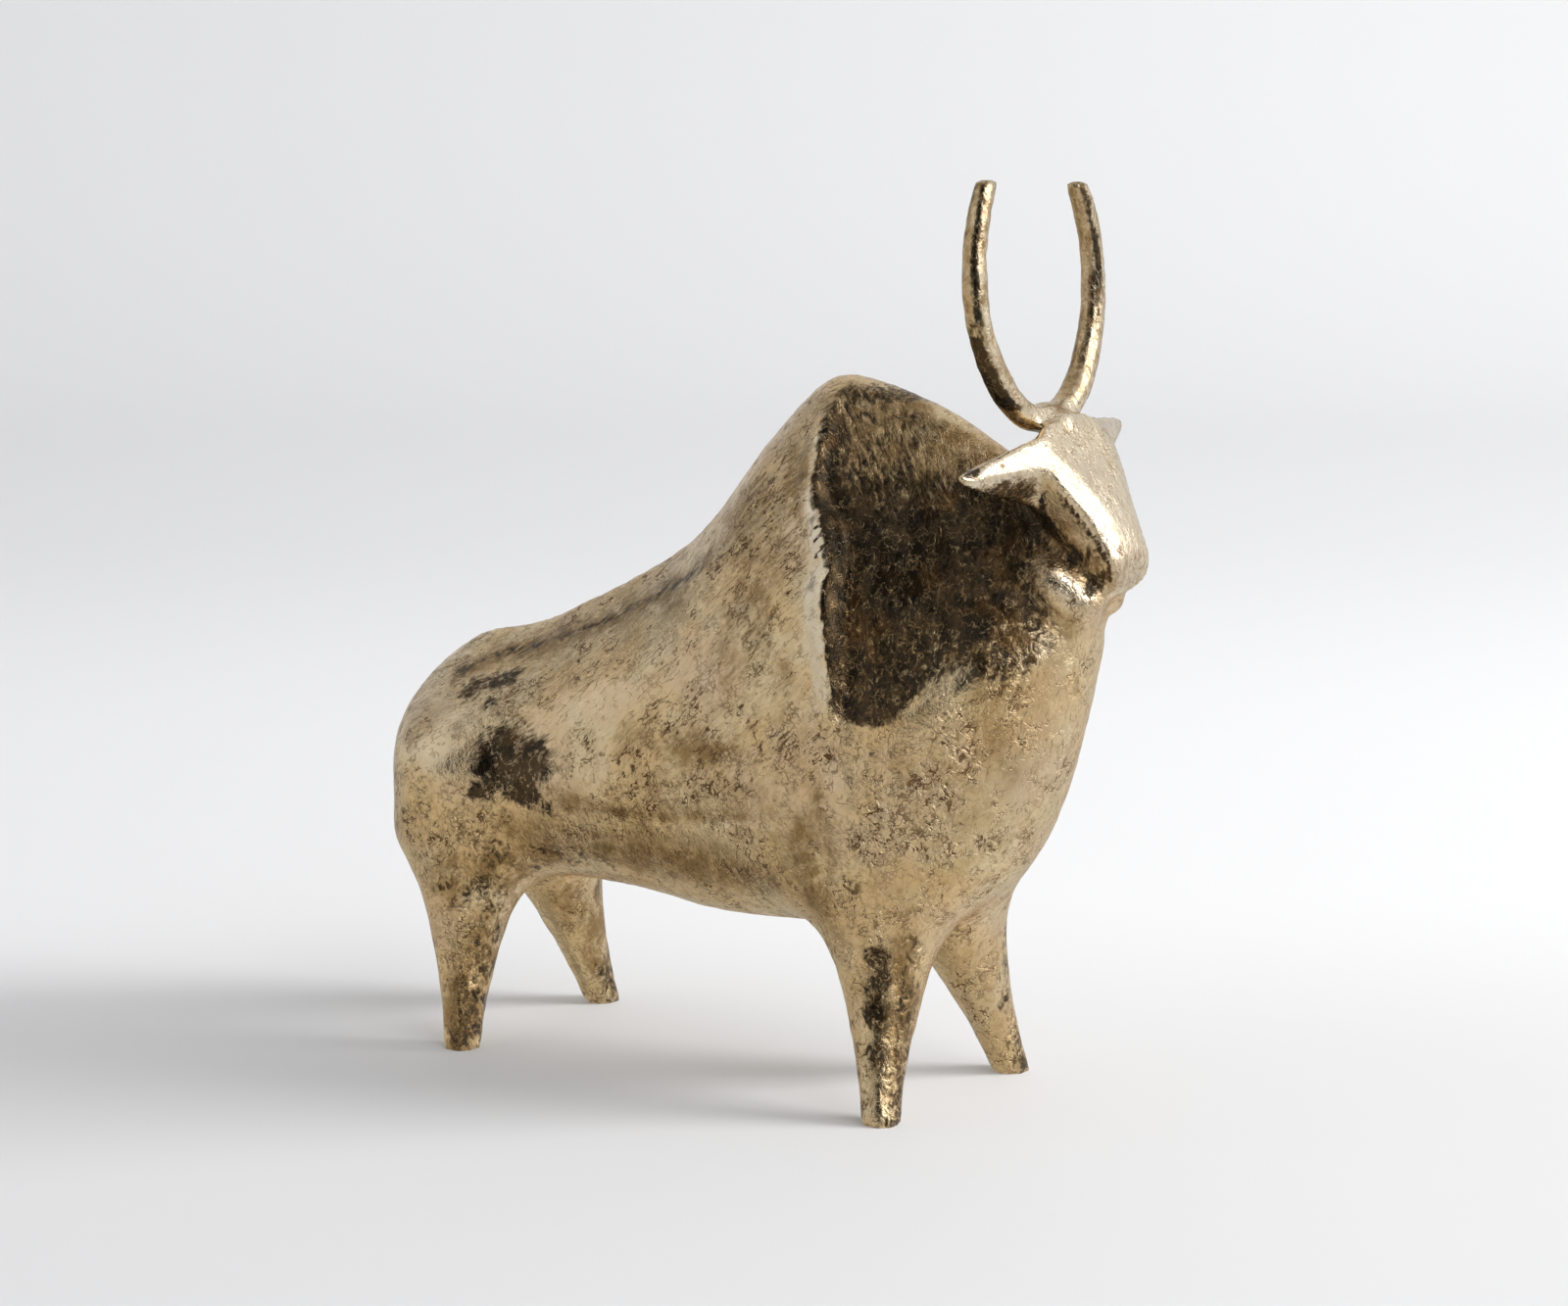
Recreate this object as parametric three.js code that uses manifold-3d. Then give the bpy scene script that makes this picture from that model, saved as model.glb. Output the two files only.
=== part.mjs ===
// A standing bull with a tall shoulder hump and upright horns, cast in brass in one piece.
// Millimetres. +X is the way the bull faces, +Y its left side, +Z up; the feet stand on z = 0.
import * as THREE from "three";
import Module from "manifold-3d";

const wasm = await Module();
wasm.setup();

// Where the feet stand, and how the legs run up from them
const FOOT_X = 91.5;
const FOOT_Y = 43;
const FOOT_RADIUS = 7;
const FOOT_EDGE = 1.2;
const LEG_SPLAY = { front: 0.36, rear: 0.32 };
const LEG_LEAN = { front: 0.215, rear: 0.17 };
const LEG_TOP = 76;
const LEG_FLARE = { gain: 0.0125, power: 1.7 };
const LEG_BLEND = 22;

// Trunk: stations are [x, value] unless said otherwise
const FLAT_CREST = 0.15;
const SIDE_FULLNESS = 2.4;
const SOFT_EDGE = { low: 44, high: 9, from: 120, to: 235 };
const NECK_STEP = 4.5;
const NECK_STEP_FADE = 3;
const NECK_SLIM = 0.3;
const NECK_FULLNESS = 1.7;
const HAUNCH = { x: -118, z: 100, long: 26, high: 34, rise: 2.5 };
const HIP_HOLLOW = { x: -74, z: 116, long: 20, high: 24, rise: -3 };
const THROAT_ROLL = { from: [141, 14, 189.5], to: [151.5, 8.2, 180.5], right: 4.6, left: 3, blend: 8 };

// Head and horns
const HEAD_ROLL = 5.4 * (Math.PI / 180);
const HEAD_CENTRE = [-0.8, 228];
const FACE_BEVEL = 0.43;
const FACE_EDGE = 1.4;
const FACE_SLOPE = 0.86;
const CHIN = 180.5;
const CROWN = 241;
const CROWN_FALL = 1.1;
const CROWN_TONGUE = { centre: [134, 1, 239], radii: [6, 5.5, 4.5], blend: 2 };
const NAPE_FILL = 14;
const EAR = {
  root: { out: 12, top: 240.6, low: 227.8, deep: 19, fall: CROWN_FALL },
  tip: { out: 54, top: 230.8, low: 228.6, deep: 3, fall: 0.2 },
};
const HORN_TOP = 320;
const HORN_TOP_SLOPE = 0.045;
const HORN_RADIUS = { base: 4.8, middle: 4, tip: 3.4 };
const HORN_SQUARENESS = 2.6;
const HORN_BLEND = 4;
const FAR = 10;

// Cell of the sampling grid, and how many triangles the surface keeps
const CELL = 2;
const TRIANGLES = 9600;

const { abs, cos, exp, hypot, max, min, pow, sin } = Math;

const clamp01 = (t) => min(1, max(0, t));
const mix = (a, b, t) => a + (b - a) * t;
const smoothstep = (a, b, x) => {
  const t = clamp01((x - a) / (b - a));
  return t * t * (3 - 2 * t);
};
const softMin = (a, b, k) => min(a, b) - pow(max(0, k - abs(a - b)), 2) / (4 * k);
const softMax = (a, b, k) => -softMin(-a, -b, k);
const dome = (x, z, d) => d.rise * exp(-pow((x - d.x) / d.long, 2) - pow((z - d.z) / d.high, 2));

// A smooth function through [at, value] stations.
function profile(stations) {
  const last = stations.length - 1;
  return (x) => {
    if (x <= stations[0][0]) return stations[0][1];
    if (x >= stations[last][0]) return stations[last][1];
    let i = 0;
    while (x > stations[i + 1][0]) i++;
    const before = stations[max(0, i - 1)];
    const [x1, y1] = stations[i];
    const [x2, y2] = stations[i + 1];
    const after = stations[min(last, i + 2)];
    const w = x2 - x1;
    const t = (x - x1) / w;
    const m1 = ((y2 - before[1]) / (x2 - before[0])) * w;
    const m2 = ((after[1] - y1) / (after[0] - x1)) * w;
    const s = 1 - t;
    return y1 * (1 + 2 * t) * s * s + m1 * t * s * s + y2 * t * t * (3 - 2 * t) - m2 * t * t * s;
  };
}

// Side outline of the trunk, hump and neck, in x and z: over the back, down the throat, along the belly
const OUTLINE = new THREE.CatmullRomCurve3(
  [
    [-142.8, 106],
    [-137, 127],
    [-113, 147.3],
    [-88, 153.5],
    [-62, 164.4],
    [-16, 190.4],
    [22, 232],
    [46, 251.2],
    [84, 243.6],
    [118, 226.4],
    [140, 210],
    [151, 195],
    [151.2, 181],
    [145.6, 152],
    [136.6, 116],
    [115.5, 79.5],
    [55, 60.3],
    [5, 56],
    [-30, 59.6],
    [-90, 62],
    [-127, 68],
    [-139, 87],
  ].map(([x, z]) => new THREE.Vector3(x, 0, z)),
  true,
  "centripetal",
).getPoints(160);

// Distance from a point of the median plane to the outline, positive inside.
function insideOutline(x, z) {
  let nearest = Infinity;
  let inside = false;
  for (let i = 1; i < OUTLINE.length; i++) {
    const a = OUTLINE[i - 1];
    const b = OUTLINE[i];
    const ux = b.x - a.x;
    const uz = b.z - a.z;
    const t = clamp01(((x - a.x) * ux + (z - a.z) * uz) / (ux * ux + uz * uz));
    nearest = min(nearest, hypot(a.x + ux * t - x, a.z + uz * t - z));
    if (a.z > z !== b.z > z && x < a.x + ((z - a.z) / uz) * ux) inside = !inside;
  }
  return inside ? nearest : -nearest;
}

// Half-width of the trunk, the level it is reached at, and the top of the back above it
const sideWidth = profile([
  [-150, 45],
  [-105, 47],
  [-50, 41],
  [0, 41],
  [60, 47.5],
  [78, 48],
  [100, 44.5],
  [125, 38],
  [150, 29],
]);
const wideLevel = profile([
  [-150, 92],
  [-60, 92],
  [0, 97],
  [60, 130],
  [82, 139],
  [103, 144],
  [122, 154],
  [144, 160],
  [155, 172],
]);
const topLevel = profile([
  [-150, 148],
  [-110, 148],
  [-64, 163],
  [-16, 190],
  [22, 232],
  [47, 250],
  [84, 244],
  [118, 228],
  [138, 210],
  [150, 190],
]);

// The shoulder ridge, as [z, x]: the neck falls away in front of it.
const ridgeX = profile([
  [97, 71],
  [131, 73],
  [154, 73.5],
  [180, 72],
  [196, 67],
  [208, 57.5],
  [219, 53.5],
  [232, 50],
  [250, 51.5],
]);

function halfWidth(x, z) {
  const level = wideLevel(x);
  const u = clamp01((z - level) / (topLevel(x) - level));
  const ahead = x - ridgeX(z);
  const neck = smoothstep(-3, 16, z - level);
  const slim = NECK_SLIM * clamp01(ahead / 75) * smoothstep(-6, 50, z - level);
  const fullness = mix(SIDE_FULLNESS, NECK_FULLNESS, smoothstep(0, 30, ahead));
  let w = sideWidth(x) * mix(1 - slim, FLAT_CREST, pow(u, fullness));
  w -= NECK_STEP * smoothstep(-2, 5, ahead) * neck * (1 - pow(u, NECK_STEP_FADE));
  return max(4, w + dome(x, z, HAUNCH) + dome(x, z, HIP_HOLLOW));
}

const edgeRadius = (z) => mix(SOFT_EDGE.low, SOFT_EDGE.high, smoothstep(SOFT_EDGE.from, SOFT_EDGE.to, z));

let column = { x: NaN, z: NaN };
function trunk(x, y, z) {
  if (column.x !== x || column.z !== z)
    column = { x, z, w: halfWidth(x, z), r: edgeRadius(z), d: insideOutline(x, z) };
  const { w, r, d } = column;
  return (hypot(y / w, max(0, 1 - d / r)) - 1) * min(w, r);
}

// Legs: slender cones that widen into the trunk, planted out and forward, with eased foot edges
function legRadius(level) {
  const z = max(0, level);
  const eased = pow(max(0, FOOT_EDGE - z), 2) / (2 * FOOT_EDGE);
  return FOOT_RADIUS + LEG_FLARE.gain * pow(z, LEG_FLARE.power) - eased;
}
function legs(x, y, z) {
  const level = min(z, LEG_TOP);
  const end = x > 0 ? "front" : "rear";
  const along = x + LEG_LEAN[end] * level - (x > 0 ? FOOT_X : -FOOT_X);
  const across = abs(y) - FOOT_Y + LEG_SPLAY[end] * level;
  const side = hypot(across, along) - legRadius(level);
  return max(softMax(side, z - LEG_TOP - 4, 16), -CELL - z);
}

// Face line from crown to chin as [z, x], the half-widths of its middle strip and of its edges as [z, y]
const faceX = profile([
  [178, 154],
  [182, 158.5],
  [187, 161.6],
  [194, 162.4],
  [204, 159.6],
  [213, 155.5],
  [224.7, 148.5],
  [231.5, 143.3],
  [241, 136.5],
]);
const stripWidth = profile([
  [186, 12],
  [195, 9.5],
  [204, 7.2],
  [213, 9],
  [224.7, 14.4],
  [232, 18],
]);
const faceWidth = profile([
  [180, 5],
  [184, 9],
  [190, 11.4],
  [203, 13.6],
  [211, 16.6],
  [219, 20],
  [227, 22.8],
  [233, 20.5],
  [241, 12],
]);
const headDepth = profile([
  [182, 9],
  [194, 12],
  [210, 17],
  [226, 24],
]);

function head(x, y0, z0) {
  const z = z0 * cos(HEAD_ROLL) - y0 * sin(HEAD_ROLL);
  const v = abs(y0 - HEAD_CENTRE[0] + (z0 - HEAD_CENTRE[1]) * sin(HEAD_ROLL));
  const front = faceX(z) - FACE_BEVEL * max(0, softMax(0, v - stripWidth(z), 3));
  const ahead = (x - front) * FACE_SLOPE;
  let mask = softMax(ahead, v - faceWidth(z), FACE_EDGE);
  mask = softMax(mask, (z - CROWN - CROWN_FALL * ahead) * 0.7, FACE_EDGE);
  mask = softMax(mask, CHIN - z, 5);
  mask = softMax(mask, -ahead - headDepth(z) - NAPE_FILL * clamp01(1.4 - v / 10), 3);
  // Ear: a wedge behind the same front plane
  const { root, tip } = EAR;
  const e = clamp01((v - root.out) / (tip.out - root.out));
  const [top, low, deep, fall] = ["top", "low", "deep", "fall"].map((size) => mix(root[size], tip[size], e));
  let ear = softMax(ahead, (z - top - fall * ahead) * 0.75, FACE_EDGE);
  ear = softMax(ear, (low + ahead - z) * 0.75, FACE_EDGE);
  ear = softMax(ear, -ahead - deep, 2);
  ear = softMax(ear, v - tip.out, 3);
  return softMin(mask, ear, 1.5);
}

// Horns: one bar bent to a U that stands on the crown and leans back a little, as [y, z] and [z, x]
const HORN_PATH = new THREE.CatmullRomCurve3(
  [
    [0, 240.6],
    [12.3, 242.3],
    [23.2, 250],
    [31.2, 261],
    [36.6, 272.5],
    [38.6, 285.6],
    [37.6, 298.7],
    [33.8, 310],
    [27.5, 323],
  ].map(([y, z]) => new THREE.Vector3(0, y, z)),
  false,
  "centripetal",
).getPoints(40);
const hornX = profile([
  [240, 128.5],
  [272, 125],
  [320, 122],
]);
const hornRadius = profile([
  [0, HORN_RADIUS.base],
  [0.5, HORN_RADIUS.middle],
  [1, HORN_RADIUS.tip],
]);
function horns(x, y, z) {
  const v = abs(y);
  const depth = x - hornX(z);
  if (z < 225 || abs(depth) > 16 || v > 54) return FAR;
  let best = Infinity;
  for (let i = 1; i < HORN_PATH.length; i++) {
    const a = HORN_PATH[i - 1];
    const b = HORN_PATH[i];
    const uy = b.y - a.y;
    const uz = b.z - a.z;
    const t = clamp01(((v - a.y) * uy + (z - a.z) * uz) / (uy * uy + uz * uz));
    const away = hypot(a.y + uy * t - v, a.z + uz * t - z);
    const along = (i - 1 + t) / (HORN_PATH.length - 1);
    const out = pow(pow(abs(depth), HORN_SQUARENESS) + pow(away, HORN_SQUARENESS), 1 / HORN_SQUARENESS);
    best = min(best, out - hornRadius(along));
  }
  return softMax(best, z - HORN_TOP + HORN_TOP_SLOPE * y, 1.6);
}

// The two short rolls of the throat below the jaw, the right one fuller
function throat(x, y, z) {
  if (x < 115 || z < 160 || z > 210) return FAR;
  const { from, to, right, left } = THROAT_ROLL;
  const axis = subtract(to, from);
  const p = subtract([x, abs(y), z], from);
  const t = clamp01(dot(p, axis) / dot(axis, axis));
  return hypot(p[0] - axis[0] * t, p[1] - axis[1] * t, p[2] - axis[2] * t) - (y > 0 ? left : right);
}

// The short tongue that joins the crown to the foot of the horns
function crownTongue(x, y, z) {
  const { centre, radii } = CROWN_TONGUE;
  const away = hypot((x - centre[0]) / radii[0], (y - centre[1]) / radii[1], (z - centre[2]) / radii[2]);
  return (away - 1) * radii[1];
}

function bull(x, y, z) {
  let f = softMin(trunk(x, y, z), legs(x, y, z), LEG_BLEND);
  f = softMin(f, throat(x, y, z), THROAT_ROLL.blend);
  f = softMin(f, head(x, y, z), FACE_EDGE);
  f = softMin(f, crownTongue(x, y, z), CROWN_TONGUE.blend);
  return softMin(f, horns(x, y, z), HORN_BLEND);
}

// The six tetrahedra of a cell, as corner numbers whose bits are the x, y and z steps, and the orders
// that bring one inside corner, or two, to the front.
const TETRAHEDRA = [
  [0, 1, 3, 7],
  [0, 2, 6, 7],
  [0, 4, 5, 7],
  [0, 3, 2, 7],
  [0, 6, 4, 7],
  [0, 5, 1, 7],
];
const ONE_FIRST = { 1: [0, 1, 2, 3], 2: [1, 0, 3, 2], 4: [2, 0, 1, 3], 8: [3, 0, 2, 1] };
const TWO_FIRST = {
  3: [0, 1, 2, 3],
  5: [0, 2, 3, 1],
  9: [0, 3, 1, 2],
  6: [1, 2, 0, 3],
  10: [1, 3, 2, 0],
  12: [2, 3, 0, 1],
};

// Samples a field on a grid and returns the closed surface where it is zero.
function surfaceOf(field, low, high, cell) {
  const n = low.map((start, axis) => Math.ceil((high[axis] - start) / cell) + 1);
  const value = new Float32Array(n[0] * n[1] * n[2]);
  const at = (i, j, k) => (k * n[0] + i) * n[1] + j;
  const place = (index) => {
    const column = Math.floor(index / n[1]);
    const steps = [column % n[0], index % n[1], Math.floor(column / n[0])];
    return steps.map((step, axis) => low[axis] + step * cell);
  };
  for (let index = 0; index < value.length; index++) value[index] = field(...place(index)) || 1e-6;
  const vertexOf = new Map();
  const vertices = [];
  const crossing = (a, b) => {
    const key = a < b ? a * value.length + b : b * value.length + a;
    if (!vertexOf.has(key)) {
      const t = value[a] / (value[a] - value[b]);
      const end = place(b);
      vertexOf.set(key, vertices.length);
      vertices.push(place(a).map((from, axis) => mix(from, end[axis], min(0.95, max(0.05, t)))));
    }
    return vertexOf.get(key);
  };
  const faces = [];
  for (let k = 0; k + 1 < n[2]; k++)
    for (let i = 0; i + 1 < n[0]; i++)
      for (let j = 0; j + 1 < n[1]; j++) {
        const corner = [0, 1, 2, 3, 4, 5, 6, 7].map((c) => at(i + (c & 1), j + ((c >> 1) & 1), k + (c >> 2)));
        const first = value[corner[0]] < 0;
        if (corner.every((c) => value[c] < 0 === first)) continue;
        for (const tetrahedron of TETRAHEDRA) {
          const tips = tetrahedron.map((c) => corner[c]);
          const mask = tips.reduce((sum, c, bit) => sum + (value[c] < 0 ? 1 << bit : 0), 0);
          if (mask === 0 || mask === 15) continue;
          const order = TWO_FIRST[mask] ?? ONE_FIRST[mask] ?? ONE_FIRST[15 - mask];
          const [a, b, c, d] = order.map((tip) => tips[tip]);
          if (mask in TWO_FIRST) {
            const q = [crossing(a, c), crossing(a, d), crossing(b, d), crossing(b, c)];
            faces.push([q[0], q[1], q[2]], [q[0], q[2], q[3]]);
          } else {
            const t = [crossing(a, b), crossing(a, c), crossing(a, d)];
            faces.push(mask in ONE_FIRST ? t : t.reverse());
          }
        }
      }
  return { vertices, faces };
}

// Slides a vertex along the slope of the field until it lies on the surface.
function settle(field, p, reach) {
  const h = 0.05;
  let [x, y, z] = p;
  for (let step = 0; step < 3; step++) {
    const f = field(x, y, z);
    const gx = (field(x + h, y, z) - f) / h;
    const gy = (field(x, y + h, z) - f) / h;
    const gz = (field(x, y, z + h) - f) / h;
    const g = max(0.05, gx * gx + gy * gy + gz * gz);
    const move = Math.sign(f) * min(abs(f), 1);
    x -= (gx * move) / g;
    y -= (gy * move) / g;
    z -= (gz * move) / g;
  }
  return hypot(x - p[0], y - p[1], z - p[2]) < reach ? [x, y, z] : p;
}

const subtract = (a, b) => [a[0] - b[0], a[1] - b[1], a[2] - b[2]];
const cross = (a, b) => [a[1] * b[2] - a[2] * b[1], a[2] * b[0] - a[0] * b[2], a[0] * b[1] - a[1] * b[0]];
const dot = (a, b) => a[0] * b[0] + a[1] * b[1] + a[2] * b[2];
const faceNormal = (a, b, c) => cross(subtract(b, a), subtract(c, a));

// Sum of squared distances to a set of planes, as the upper triangle of a symmetric 4 x 4 matrix.
const UPPER = [0, 1, 2, 3].flatMap((i) => [0, 1, 2, 3].filter((j) => j >= i).map((j) => [i, j]));
const quadricOf = (plane, weight) => UPPER.map(([i, j]) => plane[i] * plane[j] * weight);
const quadricAt = (q, [x, y, z]) =>
  q[0] * x * x + q[4] * y * y + q[7] * z * z + q[9] +
  2 * (q[1] * x * y + q[2] * x * z + q[3] * x + q[5] * y * z + q[6] * y + q[8] * z);
function lowestPoint(q) {
  const rows = [
    [q[0], q[1], q[2]],
    [q[1], q[4], q[5]],
    [q[2], q[5], q[7]],
  ];
  const det = dot(rows[0], cross(rows[1], rows[2]));
  const size = q[0] + q[4] + q[7];
  if (abs(det) < 1e-4 * size * size * size) return null;
  const right = [-q[3], -q[6], -q[8]];
  return [
    dot(right, cross(rows[1], rows[2])) / det,
    dot(rows[0], cross(right, rows[2])) / det,
    dot(rows[0], cross(rows[1], right)) / det,
  ];
}

// Thins a closed mesh by collapsing the edges that change its shape least.
function thin({ vertices, faces }, wanted) {
  const p = vertices.map((v) => v.slice());
  const q = p.map(() => new Array(10).fill(0));
  const around = p.map(() => new Set());
  const alive = faces.map(() => true);
  faces.forEach((f, index) => {
    const [a, b, c] = f.map((v) => p[v]);
    const n = faceNormal(a, b, c);
    const size = hypot(...n) || 1e-9;
    const unit = n.map((w) => w / size);
    const plane = quadricOf([...unit, -dot(unit, a)], size / 2);
    for (const v of f) {
      around[v].add(index);
      plane.forEach((w, i) => (q[v][i] += w));
    }
  });
  const version = new Int32Array(p.length);
  const heap = [];
  const less = (a, b) => a.cost < b.cost;
  const push = (item) => {
    let i = heap.push(item) - 1;
    while (i > 0 && less(item, heap[(i - 1) >> 1])) {
      heap[i] = heap[(i - 1) >> 1];
      i = (i - 1) >> 1;
    }
    heap[i] = item;
  };
  const pop = () => {
    const top = heap[0];
    const item = heap.pop();
    if (heap.length === 0) return top;
    let i = 0;
    for (let child = 1; child < heap.length; child = 2 * i + 1) {
      if (child + 1 < heap.length && less(heap[child + 1], heap[child])) child++;
      if (!less(heap[child], item)) break;
      heap[i] = heap[child];
      i = child;
    }
    heap[i] = item;
    return top;
  };
  const propose = (a, b) => {
    const sum = q[a].map((w, i) => w + q[b][i]);
    const middle = p[a].map((w, i) => (w + p[b][i]) / 2);
    const long = hypot(...subtract(p[a], p[b]));
    let spot = lowestPoint(sum);
    if (!spot || hypot(...subtract(spot, middle)) > long) spot = middle;
    const cost = max(0, quadricAt(sum, spot)) + 1e-4 * pow(long, 4);
    push({ a, b, spot, cost, stamp: version[a] + version[b] });
  };
  const neighbours = (v) => {
    const found = new Set();
    for (const f of around[v]) for (const w of faces[f]) if (w !== v) found.add(w);
    return found;
  };
  faces.forEach(([a, b, c]) => {
    if (a < b) propose(a, b);
    if (b < c) propose(b, c);
    if (c < a) propose(c, a);
  });
  let left = faces.length;
  while (left > wanted && heap.length) {
    const { a, b, spot, stamp } = pop();
    if (stamp !== version[a] + version[b] || around[a].size === 0 || around[b].size === 0) continue;
    const shared = [...around[a]].filter((f) => around[b].has(f));
    const ringB = neighbours(b);
    if (shared.length !== 2 || [...neighbours(a)].filter((v) => ringB.has(v)).length !== 2) continue;
    const keeps = (v) =>
      [...around[v]].every((f) => {
        if (shared.includes(f)) return true;
        const before = faces[f].map((w) => p[w]);
        const after = faces[f].map((w) => (w === v ? spot : p[w]));
        const n0 = faceNormal(...before);
        const n1 = faceNormal(...after);
        return dot(n0, n1) > 0.3 * hypot(...n0) * hypot(...n1);
      });
    if (!keeps(a) || !keeps(b)) continue;
    p[a] = spot;
    q[a] = q[a].map((w, i) => w + q[b][i]);
    for (const f of shared) {
      alive[f] = false;
      for (const v of faces[f]) around[v].delete(f);
    }
    for (const f of around[b]) {
      faces[f] = faces[f].map((v) => (v === b ? a : v));
      around[a].add(f);
    }
    around[b] = new Set();
    left -= 2;
    version[a] += 1;
    for (const v of neighbours(a)) propose(a, v);
  }
  const index = new Map();
  const kept = faces.filter((_, f) => alive[f]);
  const used = [];
  for (const f of kept)
    for (const v of f)
      if (!index.has(v)) {
        index.set(v, used.length);
        used.push(p[v]);
      }
  return { vertices: used, faces: kept.map((f) => f.map((v) => index.get(v))) };
}

const solidOf = ({ vertices, faces }) =>
  new wasm.Manifold(
    new wasm.Mesh({
      numProp: 3,
      vertProperties: new Float32Array(vertices.flat()),
      triVerts: new Uint32Array(faces.flat()),
    }),
  );

const BOX = { low: [-156, -64, -3 * CELL], high: [172, 64, 330] };
const aroundHead = ([x, , z]) => x > 112 && z > 176;
const fine = surfaceOf(bull, BOX.low, BOX.high, CELL);
fine.vertices = fine.vertices.map((p) => (aroundHead(p) ? settle(bull, p, 1.5) : p));
const coarse = thin(fine, TRIANGLES);
coarse.vertices = coarse.vertices.map((p) => settle(bull, p, 0.6));

// The ground cuts the feet flat
const ground = new THREE.BoxGeometry(600, 600, 100).translate(0, 0, -50);
const groundFaces = [];
const groundIndex = ground.index.array;
for (let i = 0; i < groundIndex.length; i += 3) groundFaces.push([...groundIndex.slice(i, i + 3)]);
const boxCorners = [];
const cornerOf = new Map();
const place = ground.attributes.position;
const weld = (i) => {
  const key = [place.getX(i), place.getY(i), place.getZ(i)];
  if (!cornerOf.has(key.join())) {
    cornerOf.set(key.join(), boxCorners.length);
    boxCorners.push(key);
  }
  return cornerOf.get(key.join());
};
const floor = solidOf({ faces: groundFaces.map((f) => f.map(weld)), vertices: boxCorners });
const standing = solidOf(coarse).subtract(floor).getMesh();

const geometry = new THREE.BufferGeometry()
  .setAttribute("position", new THREE.BufferAttribute(new Float32Array(standing.vertProperties), 3))
  .setIndex(new THREE.BufferAttribute(new Uint32Array(standing.triVerts), 1));
geometry.computeBoundingBox();
const middle = geometry.boundingBox.getCenter(new THREE.Vector3());
geometry.translate(-middle.x, -middle.y, 0);

const brass = new THREE.MeshStandardMaterial({ color: 0xb09468, roughness: 0.35, metalness: 1 });
const mesh = new THREE.Mesh(geometry, brass);
mesh.name = "bull";
const group = new THREE.Group();
group.add(mesh);

export default group;
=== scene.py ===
"""Looks of a cast brass bull: the skin of the casting, its patina with painted shade, painted dark
reflections and painted sheen laid into its colour, and a pale studio round it whose paper has a painted
glow.
"""

import logging
import math
from dataclasses import dataclass
from enum import Enum
from typing import Any, Sequence

import bmesh
import bpy
import numpy as np
from mathutils import Matrix, Vector, noise


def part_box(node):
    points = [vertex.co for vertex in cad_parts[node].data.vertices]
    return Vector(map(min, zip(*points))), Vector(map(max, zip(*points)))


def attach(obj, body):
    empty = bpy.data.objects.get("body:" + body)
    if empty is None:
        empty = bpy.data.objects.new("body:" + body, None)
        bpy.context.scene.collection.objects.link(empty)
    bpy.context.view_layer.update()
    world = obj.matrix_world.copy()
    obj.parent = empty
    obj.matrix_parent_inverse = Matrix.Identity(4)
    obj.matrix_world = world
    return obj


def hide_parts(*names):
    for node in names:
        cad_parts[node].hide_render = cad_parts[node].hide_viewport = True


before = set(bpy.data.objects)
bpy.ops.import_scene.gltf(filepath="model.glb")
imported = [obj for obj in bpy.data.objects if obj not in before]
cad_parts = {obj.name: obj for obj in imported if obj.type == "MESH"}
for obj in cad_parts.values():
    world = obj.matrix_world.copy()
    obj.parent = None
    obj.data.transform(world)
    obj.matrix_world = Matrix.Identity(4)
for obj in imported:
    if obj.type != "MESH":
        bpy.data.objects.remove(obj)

MM = 0.001
NODE = "bull"
BODY = "root"
NOISE_FADE, NOISE_STEP = 0.9, 2.1
log = logging.getLogger("bull")
Colour = Span = tuple[float, float, float, float]


class Mark(Enum):
    """Masks that the skin carries to its finish, one number per vertex."""

    # The patina mask also carries painted shade and painted dark reflections.
    PATINA_AND_SHADE = "patina"
    # The tarnish mask also carries painted shade and painted dark reflections.
    TARNISH_AND_SHADE = "tarnish"
    ROUGH = "rough"
    # The smooth mask also lays a paler colour that paints sheen.
    SMOOTH = "smooth"
    RISING = "rising"
    FALLING = "falling"


def smooth(start: float, end: float, value: np.ndarray) -> np.ndarray:
    """A soft step from 0 at start to 1 at end.

    Args:
        start: Where the step begins.
        end: Where it is complete; it may lie below start.
        value: What is measured.

    Returns:
        The step's height for each value.
    """
    t = np.clip((value - start) / (end - start), 0, 1)
    return t * t * (3 - 2 * t)


def window(span: Span, value: np.ndarray) -> np.ndarray:
    """A soft band that rises, is full, falls and is gone at the four ends of its span."""
    rise, full, fall, gone = span
    return smooth(rise, full, value) * smooth(gone, fall, value)


@dataclass(frozen=True)
class Line:
    """A line drawn on the flank, as points in x and z."""

    points: Sequence[tuple[float, float]]

    def offset(self, x: np.ndarray, z: np.ndarray) -> tuple[np.ndarray, np.ndarray]:
        """Distance from the line.

        Args:
            x: Places along the body, in millimetres.
            z: Heights, in millimetres.

        Returns:
            The distance of each place, positive to the right of the way the line runs, and how far
            along the line, from 0 to 1, its nearest point lies.
        """
        best = np.full(x.shape, np.inf)
        side = np.ones(x.shape)
        along = np.zeros(x.shape)
        spans = len(self.points) - 1
        for i, ((ax, az), (bx, bz)) in enumerate(zip(self.points, self.points[1:])):
            ux, uz = bx - ax, bz - az
            t = np.clip(((x - ax) * ux + (z - az) * uz) / (ux * ux + uz * uz), 0, 1)
            away = np.hypot(ax + ux * t - x, az + uz * t - z)
            near = away < best
            best = np.where(near, away, best)
            side = np.where(near, np.sign((x - ax) * uz - (z - az) * ux), side)
            along = np.where(near, (i + t) / spans, along)
        return best * side, along


@dataclass(frozen=True)
class Spot:
    """A patch on the skin with a ragged edge."""

    centre: tuple[float, float, float]
    radii: tuple[float, float, float]
    strength: float
    turn: float = 0.0
    ragged: float = 0.3
    feather: float = 0.6

    def mirrored(self) -> "Spot":
        """The same patch on the other flank."""
        x, y, z = self.centre
        return Spot((x, -y, z), self.radii, self.strength, self.turn, self.ragged, self.feather)


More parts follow.
